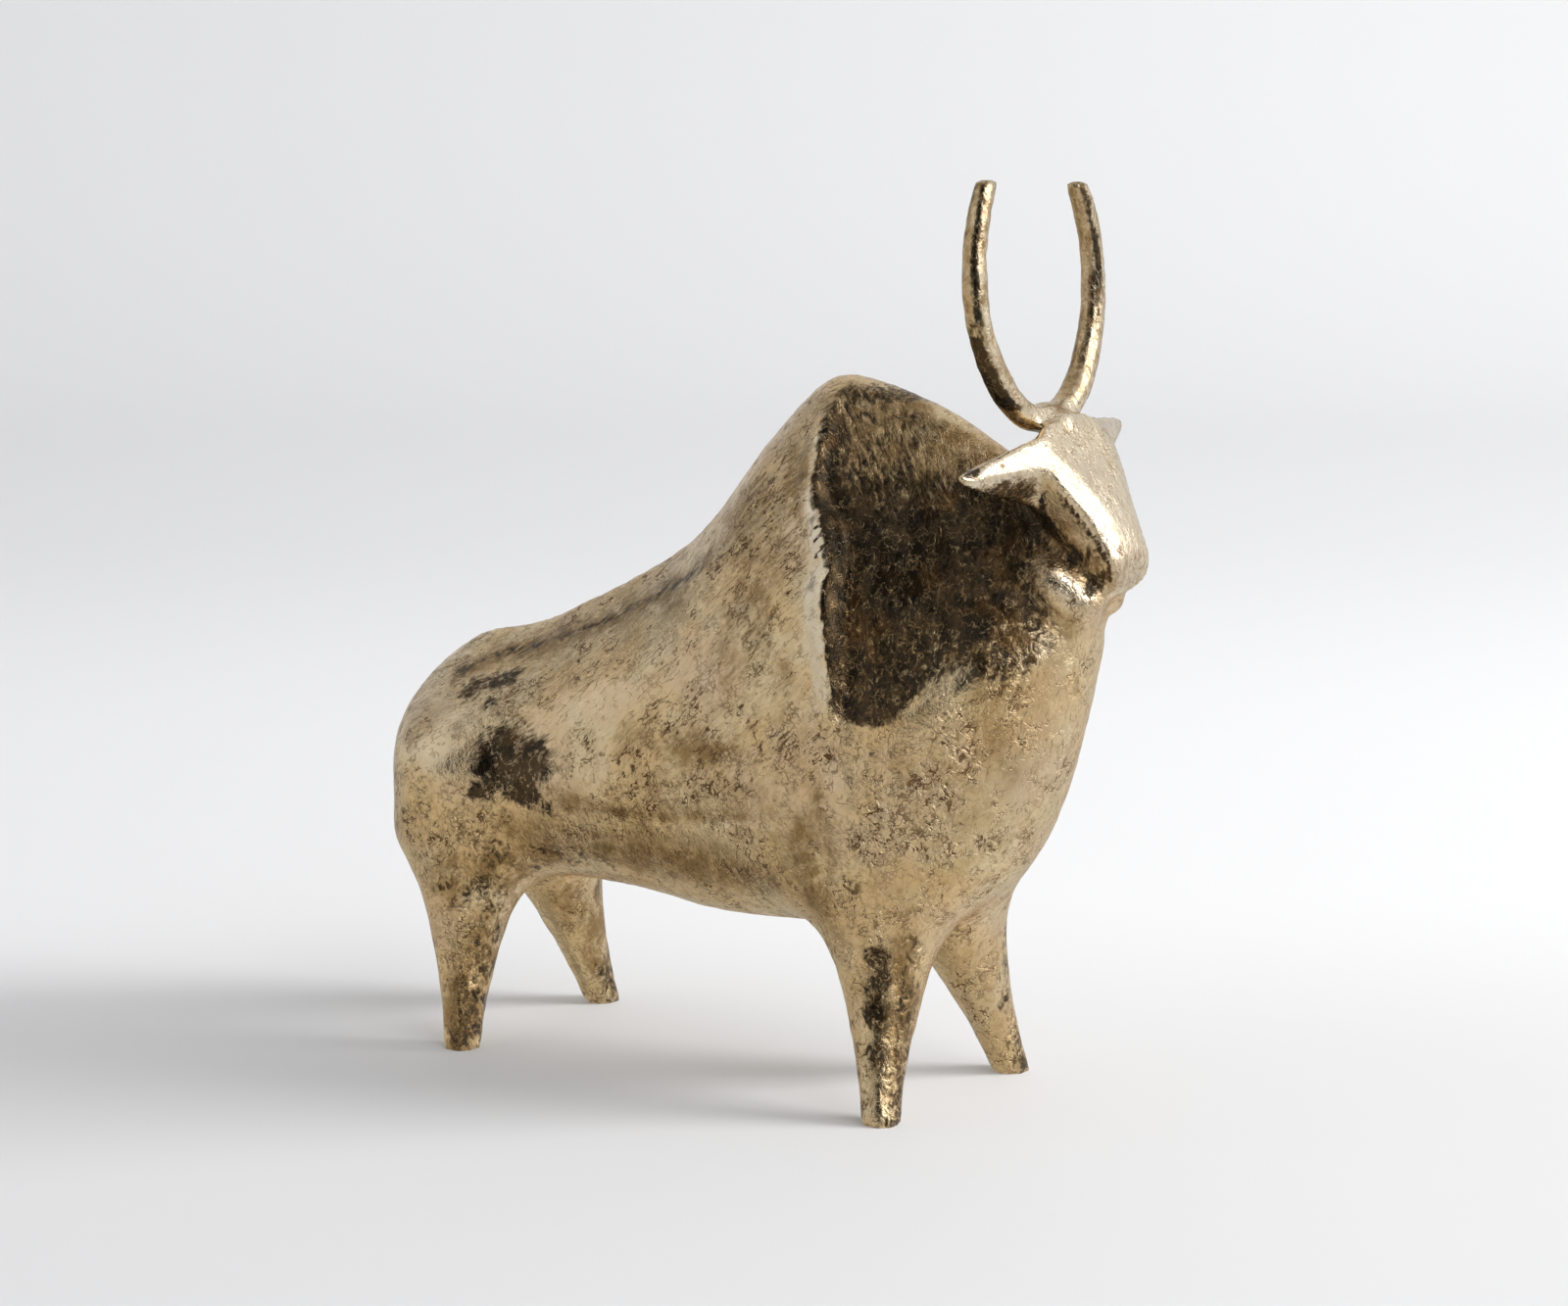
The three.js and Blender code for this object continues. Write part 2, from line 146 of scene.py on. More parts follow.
@dataclass(frozen=True)
class Groove:
    """A soft channel, and how much its line is darkened: dirt, and in some channels painted shade."""

    line: Line
    width: float
    depth: float
    dirt: float = 0.0


class Skin:
    """The vertices of the casting in millimetres, with their normals."""

    def __init__(self, mesh: bpy.types.Mesh) -> None:
        """Reads the vertices and edges of a mesh.

        Args:
            mesh: A closed mesh in metres.
        """
        count = len(mesh.vertices)
        self.mesh = mesh
        self.p = np.empty(count * 3, np.float32)
        mesh.vertices.foreach_get("co", self.p)
        self.p = self.p.reshape(-1, 3).astype(float) / MM
        edges = np.empty(len(mesh.edges) * 2, np.int32)
        mesh.edges.foreach_get("vertices", edges)
        self.edges = edges.reshape(-1, 2)
        self.update()

    def update(self) -> None:
        """Writes the vertices back to the mesh, and names their places and normals."""
        self.mesh.vertices.foreach_set("co", (self.p * MM).astype(np.float32).ravel())
        self.mesh.update()
        normals = np.empty(len(self.p) * 3, np.float32)
        self.mesh.vertices.foreach_get("normal", normals)
        self.n = normals.reshape(-1, 3).astype(float)
        self.x, self.y, self.z = self.p.T
        self.out, self.across, self.up = self.n.T

    def relax(self, rounds: int, share: np.ndarray) -> None:
        """Evens out the facets.

        Args:
            rounds: How many times each vertex moves towards its neighbours.
            share: How far each vertex moves, from 0 to 1.
        """
        a, b = self.edges.T
        count = len(self.p)
        near = np.bincount(a, minlength=count) + np.bincount(b, minlength=count)
        for _ in range(rounds):
            for axis in range(3):
                value = self.p[:, axis]
                total = np.bincount(a, value[b], count) + np.bincount(b, value[a], count)
                self.p[:, axis] += share * (total / near - value)
        self.update()

    def noise(
        self, size: float, seed: float, layers: int = 3, stretch: Sequence[float] = (1, 1, 1)
    ) -> np.ndarray:
        """Noise from about -1 to 1, in bumps of a size that is stretched along each axis."""
        q = self.p / (size * np.array(stretch)) + seed
        return np.array([noise.fractal(Vector(v), NOISE_FADE, NOISE_STEP, layers) for v in q])

    def raise_by(self, height: np.ndarray) -> None:
        """Moves the vertices outwards by a height in millimetres."""
        self.p += self.n * height[:, None]
        self.update()

    def groove(self, groove: Groove) -> np.ndarray:
        """How strongly a groove is felt at each vertex, faded at the ends of its line."""
        away, along = groove.line.offset(self.x, self.z)
        return np.exp(-((away / groove.width) ** 2)) * window((0, 0.25, 0.75, 1), along)

    def spot(self, spot: Spot, rough: np.ndarray) -> np.ndarray:
        """The weight of a patch.

        Args:
            spot: Where the patch is and how ragged its edge.
            rough: Noise that breaks up the edge.

        Returns:
            A number from 0 to the patch's strength for each vertex.
        """
        c, s = math.cos(math.radians(spot.turn)), math.sin(math.radians(spot.turn))
        x, y, z = (self.p - np.array(spot.centre)).T
        u = (x * c + z * s) / spot.radii[0]
        v = y / spot.radii[1]
        w = (z * c - x * s) / spot.radii[2]
        away = np.sqrt(u * u + v * v + w * w) + spot.ragged * rough
        return spot.strength * smooth(1 + spot.feather, 1 - spot.feather, away)

    def patches(self, spots: Sequence[Spot], rough: np.ndarray) -> np.ndarray:
        """The strongest of many patches, each on both flanks.

        Args:
            spots: The patches of the right flank.
            rough: Noise that breaks up the edges.

        Returns:
            A number from 0 to 1 for each vertex.
        """
        total = np.zeros(len(self.p))
        for spot in spots:
            for one in (spot, spot.mirrored()):
                total = np.maximum(total, self.spot(one, rough))
        return total

    def store(self, mark: Mark, values: np.ndarray) -> None:
        """Keeps a mask on the mesh, with a number for each vertex."""
        layer = self.mesh.attributes.new(mark.value, "FLOAT", "POINT")
        layer.data.foreach_set("value", np.clip(values, 0, 1).astype(np.float32))


class BullSkin(Skin):
    """The skin of the bull; its parts are numbers from 0 to 1 for each vertex."""

    slab_heights = (176, 182, 194, 210, 226, 240)
    slab_backs = (149, 147, 142, 130, 113, 104)

    @property
    def head(self) -> np.ndarray:
        """The slab of the face and its ears.

        Returns:
            The share of each vertex.
        """
        back = np.interp(self.z, self.slab_heights, self.slab_backs)
        slab = smooth(-1.5, 1.5, self.x - back) * smooth(176, 180, self.z)
        ears = smooth(26, 30, np.abs(self.y)) * smooth(212, 216, self.z) * smooth(95, 100, self.x)
        return np.maximum(slab, ears)

    @property
    def horns(self) -> np.ndarray:
        """The horns."""
        return smooth(243, 248, self.z) * smooth(88, 98, self.x)

    @property
    def trunk(self) -> np.ndarray:
        """The trunk, between the legs and the head."""
        legs = smooth(62, 34, self.z)
        return (1 - np.maximum(self.head, self.horns)) * (1 - legs)


@dataclass(frozen=True)
class Zones:
    """What several masks share, as a number for each vertex."""

    rough: np.ndarray
    broad: np.ndarray
    hollow: np.ndarray
    ahead: np.ndarray
    top: np.ndarray
    jowl: np.ndarray
    cushion: np.ndarray


@dataclass
class CastBull:
    """The whole figurine: its cast skin on the form of the solid, in millimetres."""

    voxel: float = 1.43
    weld: float = 0.001
    even_rounds: int = 13
    even_limbs: float = 0.07
    even_trunk: float = 0.43
    sole_height: float = 0.6
    foot_height: float = 2.0
    wave_height: float = 0.42
    wave_size: float = 26.0
    dent_height: float = 0.22
    dent_size: float = 7.0
    leg_height: float = 0.34
    facet_height: float = 0.24
    facet_size: float = 5.5
    horn_swell: float = 0.35
    lip_height: float = 1.5
    gutter_depth: float = 1.3
    roll_height: float = 2.2
    roll_middle: tuple[float, float] = (134.5, 185)
    roll_lean: tuple[float, float] = (0.2, 0.12)
    bead_height: float = 1.0
    recess_depth: float = 0.9
    boss_height: float = 1.7
    leg_span: Span = (2, 8, 34, 62)
    lip_span: Span = (128, 150, 236, 250)
    lip_profile: Span = (-9, -1, 0.4, 3.6)
    gutter_profile: Span = (0.4, 5, 7, 17)
    faces_up: tuple[float, float] = (0.2, 0.5)
    # Where round the horns the dark strips lie: painted dark reflections.
    horn_reflection_turns: tuple[float, float] = (36, 62)
    ridge: Line = Line(
        (
            (61, 97), (63, 131), (64.2, 150), (61.8, 164), (58.8, 174), (57.6, 182), (58.6, 190),
            (57.2, 198), (52, 205), (46.8, 210), (43.4, 217), (42, 231), (42.5, 250),
        )
    )
    hollow_edge: Line = Line(
        (
            (61, 152), (65.5, 141.5), (72, 139), (83, 138.6), (93.5, 141.5), (98, 148),
            (107.4, 153), (114.6, 155), (122, 157), (130, 162), (135, 172), (142, 184),
        )
    )
    back_band: Line = Line(
        (
            (-126, 128), (-108.5, 139), (-83, 147), (-65, 153), (-38, 166), (-14, 177), (4, 192),
        )
    )
    roll: Spot = Spot((135.5, -14, 185), (13, 8, 7.2), 1, turn=-40, ragged=0.15, feather=0.45)
    # The cushion is kept pale and free of tarnish and of the hollow's dark: a painted highlight on the
    # throat's roll.
    cushion: Spot = Spot((137.5, -13.5, 185.2), (11, 8, 5.4), 1, turn=-40, ragged=0.2, feather=0.45)
    calm: Spot = Spot((-108, -42, 109), (17, 30, 20), 0.85, ragged=0.1)
    boss: Spot = Spot((52.8, -36, 198), (5.2, 20, 8), 1, turn=14, ragged=0.15, feather=0.35)
    bead: Spot = Spot((118, 1.1, 243.5), (3.4, 3.4, 2.6), 1, ragged=0.2)
    recess: Spot = Spot((120.3, -47, 228), (3, 4.6, 3), 1, ragged=0.05, feather=0.3)
    recess_dark: Spot = Spot((120.3, -47.5, 227.5), (3.2, 5, 3.4), 0.8, feather=0.3)
    flutes: Sequence[Groove] = (
        Groove(Line(((64.5, 141), (64, 128), (64.5, 114))), 2.6, 0.7, 0.15),
        Groove(Line(((74, 140), (73.5, 129), (72, 117))), 2.8, 0.8, 0.2),
        Groove(Line(((84, 139), (82.5, 128), (80, 115))), 2.6, 0.7, 0.15),
        Groove(Line(((104, 142), (99, 120), (94, 99), (90, 84))), 3.6, 0.8, 0.3),
        Groove(Line(((116, 142), (110, 123), (103, 104), (97, 88))), 3.4, 0.7, 0.25),
        Groove(Line(((127, 152), (120, 128), (110, 106))), 3, 0.5, 0.1),
    )
    creases: Sequence[Groove] = (
        Groove(
            Line(((-66, 86), (-45, 96), (-28, 94.6), (-1, 96.6), (26, 100.3), (50, 102))), 2.6, 0.6, 0.75
        ),
        # The shoulder crease is darkened as painted shade in the groove.
        Groove(Line(((57, 126), (58, 108), (61, 90), (60, 66))), 4.5, 0.9, 0.55),
        Groove(Line(((-92, 122), (-88, 108), (-80, 96))), 5, 0.6),
        # The band along the bottom of the belly is darkened as painted shade.
        Groove(Line(((-72, 72), (-50, 84), (-20, 86), (20, 84), (46, 84))), 5, 0.3, 0.5),
    )
    dark_patches: Sequence[Spot] = (
        Spot((-83.5, -38, 109.5), (11, 14, 13), 0.88, turn=-10),
        Spot((-76, -38, 99), (15, 14, 6.5), 0.84, turn=-22),
        Spot((-70, -38, 108.5), (11, 14, 11), 0.7, feather=0.7),
        Spot((-90, -38, 97.5), (8, 12, 5), 0.72, turn=30),
        Spot((123, -24, 167), (8, 12, 11), 0.6, turn=24),
        # Painted shade on the drop face beside the top of the ridge.
        Spot((44, -15, 234), (6.5, 10, 9), 0.75, ragged=0.5),
        Spot((102, -12, 214), (14, 8, 8), 0.85),
        Spot((60, -5, 246), (26, 9, 4), 0.56),
        Spot((117, -27, 161), (8, 12, 8), 0.62),
        # Painted shadow under the horns where they meet.
        Spot((118, -5, 239.5), (6, 5, 2.6), 0.85, ragged=0.1),
        # Painted shade where the belly meets the rear leg.
        Spot((-78, -30, 66), (8, 9, 8), 0.4),
        # Painted shadow in the groove between the cheek and the throat's roll.
        Spot((144, -8, 187.4), (3.2, 5, 6.5), 0.75, turn=-38, ragged=0.1),
        # Painted shadow under the horns where they meet.
        Spot((121.5, -8, 237), (4.2, 5, 3.2), 0.85, ragged=0.1),
        # Painted dark reflection on the cheek.
        Spot((139.5, -9, 194), (4.5, 5, 9), 0.5, turn=-38, ragged=0.1),
        # Painted shade under the ear.
        Spot((124, -31, 219), (9, 14, 6), 0.6, ragged=0.1),
        Spot((51.2, -36, 202.6), (1.2, 8, 1), 1, feather=0.3),
        Spot((54.4, -36, 201), (1.1, 8, 1.3), 1, feather=0.3),
        Spot((52, -36, 198.8), (1.4, 8, 1), 1, feather=0.3),
        Spot((55.4, -36, 196.6), (1, 8, 1.2), 1, feather=0.3),
        Spot((53.4, -36, 193.6), (1.2, 8, 0.9), 1, feather=0.3),
        # This row and the five after it paint shade on the legs, the feet and under the belly.
        Spot((-94, -32.5, 56), (6, 6, 15), 0.42),
        Spot((88, -33, 44), (4, 6, 28), 0.5),
        Spot((88, -42, 5), (4, 6, 7), 0.6),
        Spot((-99, -46, 4), (7, 7, 5), 0.5),
        Spot((-62, -28, 75), (20, 12, 5), 0.42),
        Spot((-89, -36, 72), (9, 8, 9), 0.44),
        Spot((-100, -24, 134), (14, 9, 4.5), 0.62, turn=14, ragged=0.6),
        Spot((-108, -27, 129), (7, 10, 6), 0.6, ragged=0.6),
        Spot((-96, -33, 127), (4, 10, 2.6), 0.5, ragged=0.6),
        Spot((77.5, -38, 57), (5.5, 9, 4.5), 0.72, ragged=0.5),
        Spot((79, -37, 50), (4, 9, 6), 0.7, ragged=0.5),
        Spot((77.5, -41, 37.5), (5, 8, 6), 0.78, ragged=0.5),
        Spot((80, -42, 24), (4.5, 7, 5), 0.66, ragged=0.6),
        Spot((87, -40, 14), (3, 6, 14), 0.5, ragged=0.8),
        Spot((-108, -43, 61), (6, 8, 3.5), 0.46, ragged=0.6),
        Spot((-97, -38, 58), (7.5, 8, 8), 0.5, ragged=0.6),
        Spot((-96, -42, 12), (4.2, 7, 14), 0.5, ragged=0.6),
    )
    # Tarnish patches, and rows that paint shade and dark reflections.
    tarnish_patches: Sequence[Spot] = (
        Spot((12, -22, 205), (26, 22, 15), 0.62, turn=38),
        Spot((36, -26, 222), (12, 18, 9), 0.5, turn=60),
        Spot((4, -40, 122), (21, 14, 8), 0.85, turn=4),
        Spot((-26, -38, 122), (10, 14, 8), 0.5),
        Spot((-52, -34, 96), (14, 14, 5), 0.6, turn=-12),
        # Painted shade along the bottom of the belly, which faces the floor.
        Spot((-6, -34, 79), (60, 16, 8), 0.8, turn=1.5, ragged=0.2),
        # This row and the four after it paint shade under the belly and on the legs and feet.
        Spot((-76, -30, 76), (13, 18, 8), 0.55),
        Spot((-104, -42, 63), (10, 12, 10), 0.75),
        Spot((-99, -44, 14), (9, 9, 20), 1),
        Spot((79, -39, 48), (8, 10, 18), 0.6),
        Spot((82, -42, 12), (7, 8, 14), 0.5),
        Spot((57, -42, 76), (7, 12, 16), 0.6),
        # Painted dark reflection on the cheek.
        Spot((140, -8, 193), (8, 6.5, 9), 1, feather=0.4, ragged=0.15),
        Spot((130, -13, 206), (9, 9, 8), 0.75, feather=0.5, ragged=0.15),
        # Painted shade under the ear.
        Spot((124, -28, 219.5), (9, 12, 6), 0.9),
        Spot((118, -26, 152), (9, 14, 9), 0.7, turn=30),
        Spot((116, -27, 134), (6, 14, 14), 0.55, turn=12),
        # This row and the two after it paint shade on the legs.
        Spot((-89, -33, 66), (10, 14, 12), 1),
        Spot((-95.5, -34, 26), (6, 9, 32), 0.9),
        Spot((87, -38, 30), (5, 10, 34), 0.8),
        Spot((53, -44, 88), (7, 12, 20), 0.85),
        Spot((26, -38, 172), (15, 16, 32), 0.6, turn=-20),
        Spot((153, 2, 193), (5, 12, 12), 0.5),
        # Painted shade where the belly meets the rear leg.
        Spot((-70, -29, 74), (14, 12, 6), 0.8),
        Spot((134, -10, 174), (6, 10, 6), 0.6),
        Spot((2, -40, 108), (34, 14, 12), 0.4),
        Spot((58, -8, 243), (28, 11, 5), 0.8),
        # Painted shade where the belly meets the rear leg.
        Spot((-75, -30, 84), (22, 16, 8), 0.6),
        Spot((95, -14, 224), (34, 20, 12), 0.55, turn=-25),
        # This row and the next paint shade on the legs.
        Spot((-97, 22, 42), (8, 9, 20), 0.7),
        Spot((86, -34, 48), (5, 8, 26), 0.9),
        Spot((34, -24, 218), (9, 14, 18), 0.7, turn=20),
        Spot((43, -46, 149), (6, 14, 12), 0.6),
        Spot((-14, -22, 176), (16, 14, 7), 0.6, turn=32),
        Spot((106, -32, 112), (7, 12, 18), 0.35, turn=12),
    )
    # Polished patches, whose paler colour also paints sheen where the metal shows bright.
    polish_and_sheen_patches: Sequence[Spot] = (
        Spot((-110, -42, 111), (13, 30, 17), 1),
        Spot((-42, -36, 134), (30, 20, 8), 0.85, turn=18),
        Spot((-16, -36, 147), (20, 20, 8), 0.6, turn=30),
        Spot((55, -43, 172), (4.5, 14, 20), 0.9, turn=-8),
        Spot((52.8, -36, 198), (5, 20, 8), 1, turn=14, ragged=0.1),
        Spot((118, -20, 124), (5, 14, 20), 0.75, turn=14),
        Spot((68, -46, 112), (6, 12, 14), 0.6),
        Spot((126, -14, 140), (6, 14, 16), 0.3),
    )
    rough_patches: Sequence[Spot] = (
        Spot((100, -38, 124), (16, 20, 18), 1),
        Spot((84, -44, 106), (12, 20, 9), 0.9),
        Spot((118, -30, 148), (13, 20, 8), 1, turn=28),
        Spot((40, -42, 130), (26, 20, 28), 0.8),
        Spot((-4, -40, 112), (34, 20, 11), 0.85),
        Spot((-20, -36, 140), (40, 20, 14), 0.5, turn=24),
        Spot((-60, -34, 150), (40, 20, 8), 0.8, turn=22),
        Spot((135, -13, 186), (13, 8, 9), 1, turn=-40),
        Spot((118, -24, 184), (14, 12, 14), 1),
        Spot((-104, -26, 132), (20, 14, 8), 1, turn=14),
        Spot((110, -21, 96), (5, 12, 6), 0.9),
        Spot((-100, -38, 84), (22, 20, 12), 0.6),
        Spot((22, -26, 198), (30, 20, 17), 1, turn=42),
        Spot((117, -26, 138), (9, 16, 15), 0.95, turn=10),
    )

    def build(self) -> bpy.types.Object:
        """Makes the piece and dresses it.

        Returns:
            The finished object.
        """
        piece = bpy.data.objects.new("cast_bull", self._surface())
        bpy.context.scene.collection.objects.link(piece)
        skin = BullSkin(piece.data)
        self._even(skin)
        self._carve(skin)
        self._keep_in_box(skin)
        self._mark(skin)
        piece.data.shade_smooth()
        piece.data.materials.clear()
        piece.data.materials.append(CastBrass().material())
        return piece

    def _surface(self) -> bpy.types.Mesh:
        """An even mesh on the form of the solid.

        Returns:
            The mesh, in metres.
        """
        source = bpy.data.meshes.new("bull_source")
        shell = bmesh.new()
        shell.from_mesh(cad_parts[NODE].data)
        bmesh.ops.remove_doubles(shell, verts=shell.verts, dist=self.weld * MM)
        shell.to_mesh(source)
        shell.free()
        draft = bpy.data.objects.new("bull_draft", source)
        bpy.context.scene.collection.objects.link(draft)
        remesh = draft.modifiers.new("even", "REMESH")
        remesh.mode = "VOXEL"
        remesh.voxel_size = self.voxel * MM
        ready = draft.evaluated_get(bpy.context.evaluated_depsgraph_get())
        mesh = bpy.data.meshes.new_from_object(ready)
        mesh.name = "cast_bull"
        bpy.data.objects.remove(draft)
        bpy.data.meshes.remove(source)
        return mesh

    def _even(self, skin: BullSkin) -> None:
        """Evens out the facets of the solid and keeps the feet flat.

        Args:
            skin: The skin.
        """
        sole = skin.z < self.sole_height
        share = self.even_limbs + self.even_trunk * skin.trunk
        share[skin.z < self.foot_height] = 0
        skin.relax(self.even_rounds, share)
        skin.p[sole & (skin.up < -0.7), 2] = 0
        skin.update()

    def _ahead(self, skin: BullSkin) -> np.ndarray:
        """Millimetres in front of the wavering shoulder ridge, for each vertex."""
        away, _ = self.ridge.offset(skin.x, skin.z)
        return away + 0.7 * skin.noise(9, 7.3, 2)

    def _carve(self, skin: BullSkin) -> None:
        """Raises and lowers the skin: waves, dents, the shoulder lip, flutes, creases and facets.

        Args:
            skin: The skin.
        """
        trunk, legs = skin.trunk, window(self.leg_span, skin.z)
        calm = 1 - skin.patches([self.calm], np.zeros(len(skin.p)))
        height = calm * trunk * self.wave_height * skin.noise(self.wave_size, 3.1)
        dents = self.dent_height * skin.noise(self.dent_size, 11.7)
        height += calm * np.maximum(trunk, 0.5 * legs) * dents
        height += legs * self.leg_height * skin.noise(5, 61.3, 2, (1, 1, 3.5))
        facets = self.facet_height * skin.noise(self.facet_size, 23.9, 2)
        height += skin.horns * (facets + self.horn_swell)
        ahead = self._ahead(skin)
        reach = window(self.lip_span, skin.z) * smooth(3, 9, np.abs(skin.y)) * trunk
        lip = self.lip_height * (1 + 0.6 * skin.noise(8, 77, 2))
        height += reach * lip * window(self.lip_profile, ahead)
        height -= reach * self.gutter_depth * window(self.gutter_profile, ahead)
        fine = skin.noise(6, 2.2, 2)
        height += (self.boss_height + 0.8 * skin.noise(2.6, 9.1, 2)) * skin.patches([self.boss], fine)
        (x, z), (lean_x, lean_z) = self.roll_middle, self.roll_lean
        lean = lean_x * (x - skin.x) + lean_z * (z - skin.z)
        height += skin.patches([self.roll], fine) * (self.roll_height + lean)
        height += self.bead_height * skin.spot(self.bead, fine)
        height -= self.recess_depth * skin.spot(self.recess, fine) * smooth(*self.faces_up, skin.up)
        for groove in (*self.flutes, *self.creases):
            height -= trunk * groove.depth * skin.groove(groove)
        skin.raise_by(height)

    def _keep_in_box(self, skin: BullSkin) -> None:
        """Keeps the skin inside the solid's box.

        Args:
            skin: The skin.
        """
        low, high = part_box(NODE)
        skin.p = np.clip(skin.p, np.array(low) / MM, np.array(high) / MM)
        skin.update()

    def _hollow(self, skin: BullSkin, rough: np.ndarray) -> np.ndarray:
        """The dark hollow of the neck, ahead of the ridge and above its lower edge.

        Args:
            skin: The skin.
            rough: Noise that breaks up its edge.

        Returns:
            A number from 0 to 1 for each vertex.
        """
        below, _ = self.hollow_edge.offset(skin.x, skin.z)
        reach = np.interp(skin.x, (82, 96), (2.6, 13))
        inside = smooth(0, 1, (2 - below - 2 * rough) / reach)
        behind = smooth(-0.4, 1, self._ahead(skin))
        crest = smooth(0.90, 0.68, skin.up)
        front = smooth(0.97, 0.80, skin.out)
        bulge = np.maximum(skin.patches([self.cushion], rough), 0.45 * skin.patches([self.roll], rough))
        return inside * behind * crest * front * skin.trunk * (1 - bulge)

    def _back(
        self, skin: BullSkin, rough: np.ndarray, shift: float, waver: float, width: float
    ) -> np.ndarray:
        """The band down the back: how far it is shifted, how far noise moves it, and its half-width."""
        away, along = self.back_band.offset(skin.x, skin.z)
        return np.exp(-(((away + shift + waver * rough) / width) ** 2)) * window((0, 0.08, 0.9, 1), along)

    def _mark(self, skin: BullSkin) -> None:
        """Works out where the metal is dark, tarnished, rough, smooth or brushed.

        Args:
            skin: The skin.
        """
        rough = skin.noise(9, 5.5, 4)
        zones = Zones(
            rough=rough,
            broad=skin.noise(30, 41),
            hollow=self._hollow(skin, rough),
            ahead=self._ahead(skin),
            top=smooth(186, 226, skin.z + 4 * rough),
            jowl=smooth(111, 122, skin.x) * window((166, 177, 198, 208), skin.z),
            cushion=skin.patches([self.cushion], rough),
        )
        skin.store(Mark.PATINA_AND_SHADE, self._patina(skin, zones))
        skin.store(Mark.TARNISH_AND_SHADE, self._tarnish(skin, zones))
        self._texture(skin, zones)

    def _patina(self, skin: BullSkin, zones: Zones) -> np.ndarray:
        """Where the metal is painted dark: patina, with painted shade and painted dark reflections. The
        hollow holds patina and painted shade; the drop face ahead of the ridge's lip, the fronts of the
        near legs, the horns' undersides and a line inside the face's bevel take painted shade; strips down
        the horns paint dark reflections; patches, some of them painted shade, a band down the back and the
        ear's recess are darkened too.

        Args:
            skin: The skin.
            zones: Its parts.

        Returns:
            A number from 0 to 1 for each vertex.
        """
        x, y, z, out, across, up = skin.x, skin.y, skin.z, skin.out, skin.across, skin.up
        rough, top, trunk = zones.rough, zones.top, skin.trunk
        deep = smooth(182, 158, z) * smooth(112, 84, x)
        middle = window((164, 178, 214, 236), z)
        crown = smooth(70, 90, x) * smooth(214, 226, z)
        held = 0.6 + 0.08 * deep - 0.22 * top + 0.22 * middle - 0.3 * crown - 0.24 * zones.jowl
        # Painted shade on the fronts of the near legs.
        shin_shade = window((2, 8, 50, 62), z) * smooth(-20, -30, y) * smooth(0.66, 0.86, out)
        # Painted shade on the drop face ahead of the ridge's lip, where the head and neck would hide the
        # window.
        drop_shade = window((-0.9, 0.5, 5, 13), zones.ahead) * window((140, 150, 232, 242), z) * trunk
        # Dark strips down the horns: painted dark reflections.
        turn = np.degrees(np.arctan2(out, -across)) - np.where(y < 0, *self.horn_reflection_turns)
        dark_reflection_strip = np.exp(-((turn / 26) ** 2)) * (0.74 + 0.3 * rough) * smooth(258, 280, z)
        # Painted shade on the horns' undersides.
        underside_shade = 0.95 * smooth(0, -0.45, up) * smooth(286, 270, z)
        # A painted shadow line on the head's sides, inside the bevel of the face.
        edge = np.exp(-(((out - 0.2) / 0.16) ** 2)) * smooth(0.6, 0.8, np.abs(across))
        edge = edge * skin.head * window((186, 190, 216, 222), z) * smooth(122, 128, x)
        layers = (
            skin.patches(self.dark_patches, rough),
            0.5 * self._back(skin, rough, 1.5, 2, 2.6) * trunk,
            # Patina in the neck's hollow, together with painted shade.
            zones.hollow * held,
            (0.44 + 0.3 * rough) * shin_shade,
            drop_shade * (1 - 0.3 * top),
            skin.horns * np.maximum(dark_reflection_strip, underside_shade),
            edge * (0.95 + 0.3 * rough),
            skin.spot(self.recess_dark, rough) * smooth(*self.faces_up, up),
        )
        return np.maximum.reduce(layers)

    def _tarnish(self, skin: BullSkin, zones: Zones) -> np.ndarray:
        """Where the metal is tarnished, and where shade and dark reflections are painted on it as tarnish.

        Args:
            skin: The skin.
            zones: Its parts.

        Returns:
            A number from 0 to 1 for each vertex.
        """
        bare = 1 - zones.hollow
        # Grooves darkened along their lines: dirt, and painted shade in the shoulder crease and along the
        # bottom of the belly.
        grooves = [groove.dirt * skin.groove(groove) * bare for groove in (*self.flutes, *self.creases)]
        patches = skin.patches(self.tarnish_patches, zones.rough + zones.broad)
        back = 0.9 * self._back(skin, zones.rough, 1, 1.5, 5) * skin.trunk
        tarnish = np.maximum.reduce([patches, back, (0.9 - 0.1 * zones.top) * zones.hollow, *grooves])
        far_leg = smooth(62, 50, skin.z) * smooth(10, 20, skin.y) * smooth(0, 20, skin.x)
        # The cushion is kept free of tarnish, part of its painted highlight.
        tarnish = tarnish * (1 - 0.9 * zones.cushion) * (1 - 0.75 * far_leg)
        return np.maximum(tarnish, 0.6 * skin.horns)

    def _texture(self, skin: BullSkin, zones: Zones) -> None:
        """Keeps how rough, worn and brushed the metal is, and where a paler colour paints sheen.

        Args:
            skin: The skin.
            zones: Its parts.
        """
        rough, trunk, head, bare = zones.rough, skin.trunk, skin.head, 1 - zones.hollow
        width = np.interp(skin.z, (196, 212), (9, 3.6))
